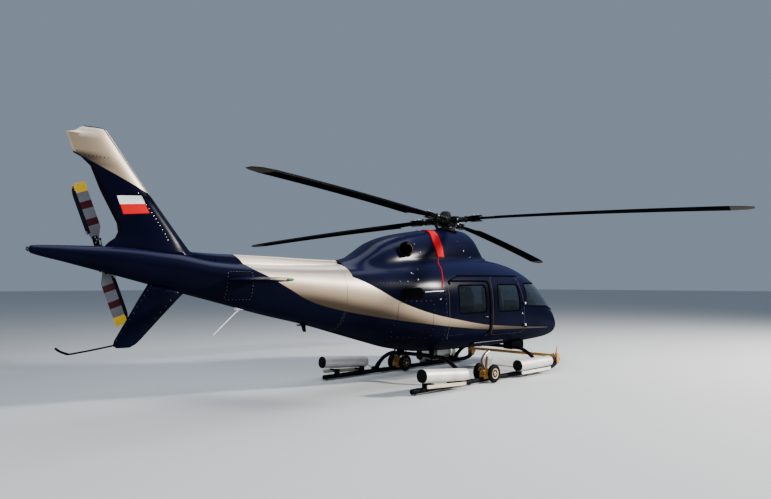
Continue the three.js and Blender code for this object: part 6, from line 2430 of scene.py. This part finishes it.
def handling_frame(name):
    """The clamp round the skid with its lift arms, jack and lever."""
    x, y = WHEEL_X, -SKID_Y
    axle_room = ((x, y - 0.2, WHEEL_Z), (x, y + 0.2, WHEEL_Z))
    parts = []
    for dy in (-0.056, 0.044):
        outline = [(x + dx, z) for dx, z in FRAME_CHEEK]
        cheek = plate("cheek", outline, y + dy, y + dy + 0.012, "yellow", 0.02, 0.002)
        parts.append(carved(cheek, rod(*axle_room, AXLE_RADIUS + 0.0005, sides=24)))
    low, high = (x - 0.13, y - 0.050, SKID_TOP + 0.004), (x + 0.13, y + 0.050, SKID_TOP + 0.022)
    bridge = rounded_block("bridge", low, high, 0.004, "yellow")
    parts.append(carved(bridge, skid_solid("room", y, SKID_RADIUS + SEAM)))
    bush = rod((x, y - 0.066, WHEEL_Z), (x, y + 0.066, WHEEL_Z), 0.034, "yellow", sides=32, chamfer=0.003)
    parts.append(carved(bush, rod(*axle_room, AXLE_RADIUS + 0.0005, sides=24)))
    arc = curve([(x + dx, y, z) for dx, z in LIFT_ARM], 0.015)
    ups = np.tile((1.0, 0, -0.3), (len(arc), 1))
    parts.append(sweep("arm", arc, rounded_section(0.052, 0.016, 0.5, 20), "rust", ups))
    for dy in (-0.027, 0.027):
        parts.append(sweep("edge", arc + (0, dy, 0), circle(0.0045, 8), "pale_metal"))
    parts.append(
        rod((x - 0.02, y, WHEEL_Z + 0.07), (x + 0.02, y, 0.470), 0.026, "rust", sides=24, chamfer=0.004)
    )
    parts.append(rod((x + 0.01, y, 0.44), (x + 0.035, y, 0.560), 0.012, "chrome", sides=16))
    parts.append(rod((x + 0.060, y, WHEEL_Z + 0.05), (x + 0.215, y, 0.405), 0.010, "pale_metal", sides=14))
    parts.append(rod((x + 0.190, y, 0.378), (x + 0.245, y, 0.437), 0.015, "flap", sides=16, chamfer=0.004))
    pin_ends = [(x - 0.13, y + dy, SKID_TOP + 0.06) for dy in (-0.062, 0.062)]
    parts.append(rod(*pin_ends, 0.008, "metal", sides=12))
    for k in range(5):
        link = np.insert(circle(1.0, 16) * CHAIN_LINK, (k + 1) % 2, 0, axis=1)
        link += (x + 0.10, y - 0.052, WHEEL_Z + 0.02 * (1 - k))
        parts.append(sweep("link", link, circle(0.002, 6), "metal", loop=True))
    return joined(name, parts)


def tow_beam():
    """The yellow beam between the skid toes, with a clamp and a pin at each end."""
    reach = SKID_Y + 0.040
    low, high = (BEAM_X - 0.030, -reach, BEAM_Z - 0.030), (BEAM_X + 0.030, reach, BEAM_Z + 0.030)
    parts = [rounded_block("bar", low, high, 0.006, "yellow")]
    low, high = (BEAM_X + 0.0295, -0.20, BEAM_Z - 0.026), (BEAM_X + 0.0300, 0.20, BEAM_Z + 0.026)
    parts.append(rounded_block("pad", low, high, 0.0001, "rust"))
    for _, side in SIDES:
        y = side * SKID_Y
        outline = [(BEAM_X + dx, z) for dx, z in BEAM_CHEEK]
        for dy in (-0.062, 0.048):
            parts.append(plate("cheek", outline, y + dy, y + dy + 0.014, "yellow", 0.018, 0.002))
        low, high = (BEAM_X - 0.050, y - 0.049, 0.128), (BEAM_X + 0.035, y + 0.049, 0.262)
        jaw = rounded_block("jaw", low, high, 0.008, "rust")
        parts.append(carved(jaw, skid_solid("room", y, SKID_RADIUS + SEAM)))
        pin_ends = [(BEAM_X - 0.035, y + dy, 0.150) for dy in (-0.072, 0.072)]
        parts.append(rod(*pin_ends, 0.010, "metal", sides=14, chamfer=0.003))
        line = curve([(BEAM_X + dx, y, z) for dx, z in BEAM_HORN], 0.015)
        sizes = np.linspace(0.024, 0.006, len(line))
        parts.append(sweep("horn", line, circle(1.0, 20), "yellow", sizes=sizes))
        ring = np.insert(circle(0.03, 32), 0, 0, axis=1) + (BEAM_X - 0.062, y, BEAM_Z)
        parts.append(sweep("ring", ring, circle(0.005, 10), "metal", loop=True))
    return joined("tow_beam_parts", parts)


class HELI_OT_ground_gear(bpy.types.Operator):
    """Build the handling wheels, their frames and the tow beam"""

    bl_idname = "heli.ground_gear"
    bl_label = "Ground gear"

    def execute(self, context):
        both_sides(handling_wheels, "tyre", "wheel_pair", "handling_wheels", "{}_wheels")
        both_sides(handling_frame, "ground_yellow", "wheel_frame", "handling_frame")
        fitted(tow_beam(), "airframe", "ground_yellow", "tow_beam")
        return {"FINISHED"}


# Stage

CAMERA_FROM_MAST = Vector((-9.865, -8.163, 1.834))
CAMERA_YAW = 45.04
CAMERA_PITCH = 3.03


def area_light(name, place, target, size, power, colour):
    light = bpy.data.lights.new(name, "AREA")
    light.shape = "RECTANGLE"
    light.size, light.size_y = size
    light.energy = power
    light.color = colour
    thing = linked(name, light)
    thing.location = place
    thing.rotation_euler = (Vector(target) - Vector(place)).to_track_quat("-Z", "Y").to_euler()


class HELI_OT_stage(bpy.types.Operator):
    """Set the camera, the pale floor and the soft light"""

    bl_idname = "heli.stage"
    bl_label = "Stage"

    def execute(self, context):
        chosen = context.scene.helicopter_stage
        camera = bpy.data.cameras.new("camera")
        camera.lens = chosen.lens
        camera.clip_end = 400
        view = linked("camera", camera)
        view.location = CAMERA_FROM_MAST + Vector((MAST_X, 0, 0))
        view.rotation_euler = (math.radians(90 + CAMERA_PITCH), 0, math.radians(CAMERA_YAW - 90))
        context.scene.camera = view

        corners = [(-150, -150, 0), (150, -150, 0), (150, 150, 0), (-150, 150, 0)]
        floor = add_mesh("floor", corners, [(0, 1, 2, 3)])
        paint = Paint("pale_floor", Roughness=0.75, Base_Color=tuple(chosen.floor_colour))
        floor.data.materials.append(paint.material)

        world = bpy.data.worlds.new("studio")
        world.use_nodes = True
        backdrop = world.node_tree.nodes["Background"]
        backdrop.inputs["Color"].default_value = (0.62, 0.78, 1.0, 1)
        backdrop.inputs["Strength"].default_value = chosen.ambient
        context.scene.world = world
        area_light("key", (13, -15, 9), (0, 0, 1.2), (1.6, 1.6), chosen.key_power, (1.0, 0.96, 0.9))
        area_light("sky", (0, 0, 12), (0, 0, 0), (14, 10), chosen.sky_power, (0.85, 0.92, 1.0))
        area_light("fill", (-14, -9, 6), (-1, 0, 1.5), (6, 4), chosen.fill_power, (0.95, 0.97, 1.0))
        return {"FINISHED"}


# Settings

def colour_property(name, description, default):
    return FloatVectorProperty(name=name, description=description, subtype="COLOR", default=default)


class HelicopterFinish(bpy.types.PropertyGroup):
    """Colours of the paint, and of the painted sky reflection and shade on it"""

    navy: colour_property("Navy", "Ground coat of the hull", (0.0015, 0.0018, 0.0065))
    # A painted sky reflection, mixed into the navy where the coat faces up.
    navy_upper: colour_property("Upper navy", "The ground coat where it faces up", (0.0055, 0.0065, 0.0290))
    navy_light: colour_property("Light navy", "The ground coat's lighter drift", (0.0026, 0.0032, 0.0115))
    champagne: colour_property("Champagne", "Sweep on the side and the boom", (0.50, 0.375, 0.255))
    # Painted shade of the champagne on faces that stand upright.
    champagne_low: colour_property(
        "Low champagne", "Champagne on faces that stand upright", (0.38, 0.29, 0.20)
    )
    champagne_light: colour_property("Light champagne", "Flake in the champagne", (0.95, 0.87, 0.75))


class HelicopterStage(bpy.types.PropertyGroup):
    """Camera, floor and light"""

    lens: FloatProperty(name="Lens", description="Focal length", default=29.51, min=10, unit="CAMERA")
    floor_colour: colour_property("Floor", "Colour of the pale floor", (0.56, 0.56, 0.56))
    ambient: FloatProperty(name="Ambient", description="Strength of the even light", default=0.34, min=0)
    key_power: FloatProperty(
        name="Key", description="Power of the key light", default=11000, min=0, unit="POWER"
    )
    sky_power: FloatProperty(name="Overhead", description="Power of the overhead light", default=1500, min=0)
    fill_power: FloatProperty(name="Fill", description="Power of the fill light", default=900, min=0)


class HELI_PT_panel(bpy.types.Panel):
    """The steps that build the helicopter"""

    bl_label = "Helicopter"
    bl_idname = "HELI_PT_panel"
    bl_space_type = "VIEW_3D"
    bl_region_type = "UI"
    bl_category = "Helicopter"

    def draw(self, context):
        for step in STEPS:
            self.layout.operator(step.bl_idname)


STEPS = (
    HELI_OT_stage,
    HELI_OT_hull,
    HELI_OT_tail_boom,
    HELI_OT_cowlings,
    HELI_OT_hull_trim,
    HELI_OT_tail_surfaces,
    HELI_OT_main_rotor,
    HELI_OT_tail_rotor,
    HELI_OT_engine_bay,
    HELI_OT_fittings,
    HELI_OT_cabin,
    HELI_OT_landing_gear,
    HELI_OT_ground_gear,
)
CLASSES = (HelicopterFinish, HelicopterStage, *STEPS, HELI_PT_panel)


def register():
    for made in CLASSES:
        bpy.utils.register_class(made)
    bpy.types.Scene.helicopter_finish = PointerProperty(type=HelicopterFinish)
    bpy.types.Scene.helicopter_stage = PointerProperty(type=HelicopterStage)


def unregister():
    del bpy.types.Scene.helicopter_stage
    del bpy.types.Scene.helicopter_finish
    for made in reversed(CLASSES):
        bpy.utils.unregister_class(made)


def main():
    register()
    for step in STEPS:
        area, name = step.bl_idname.split(".")
        getattr(getattr(bpy.ops, area), name)()


if __name__ == "__main__":
    main()
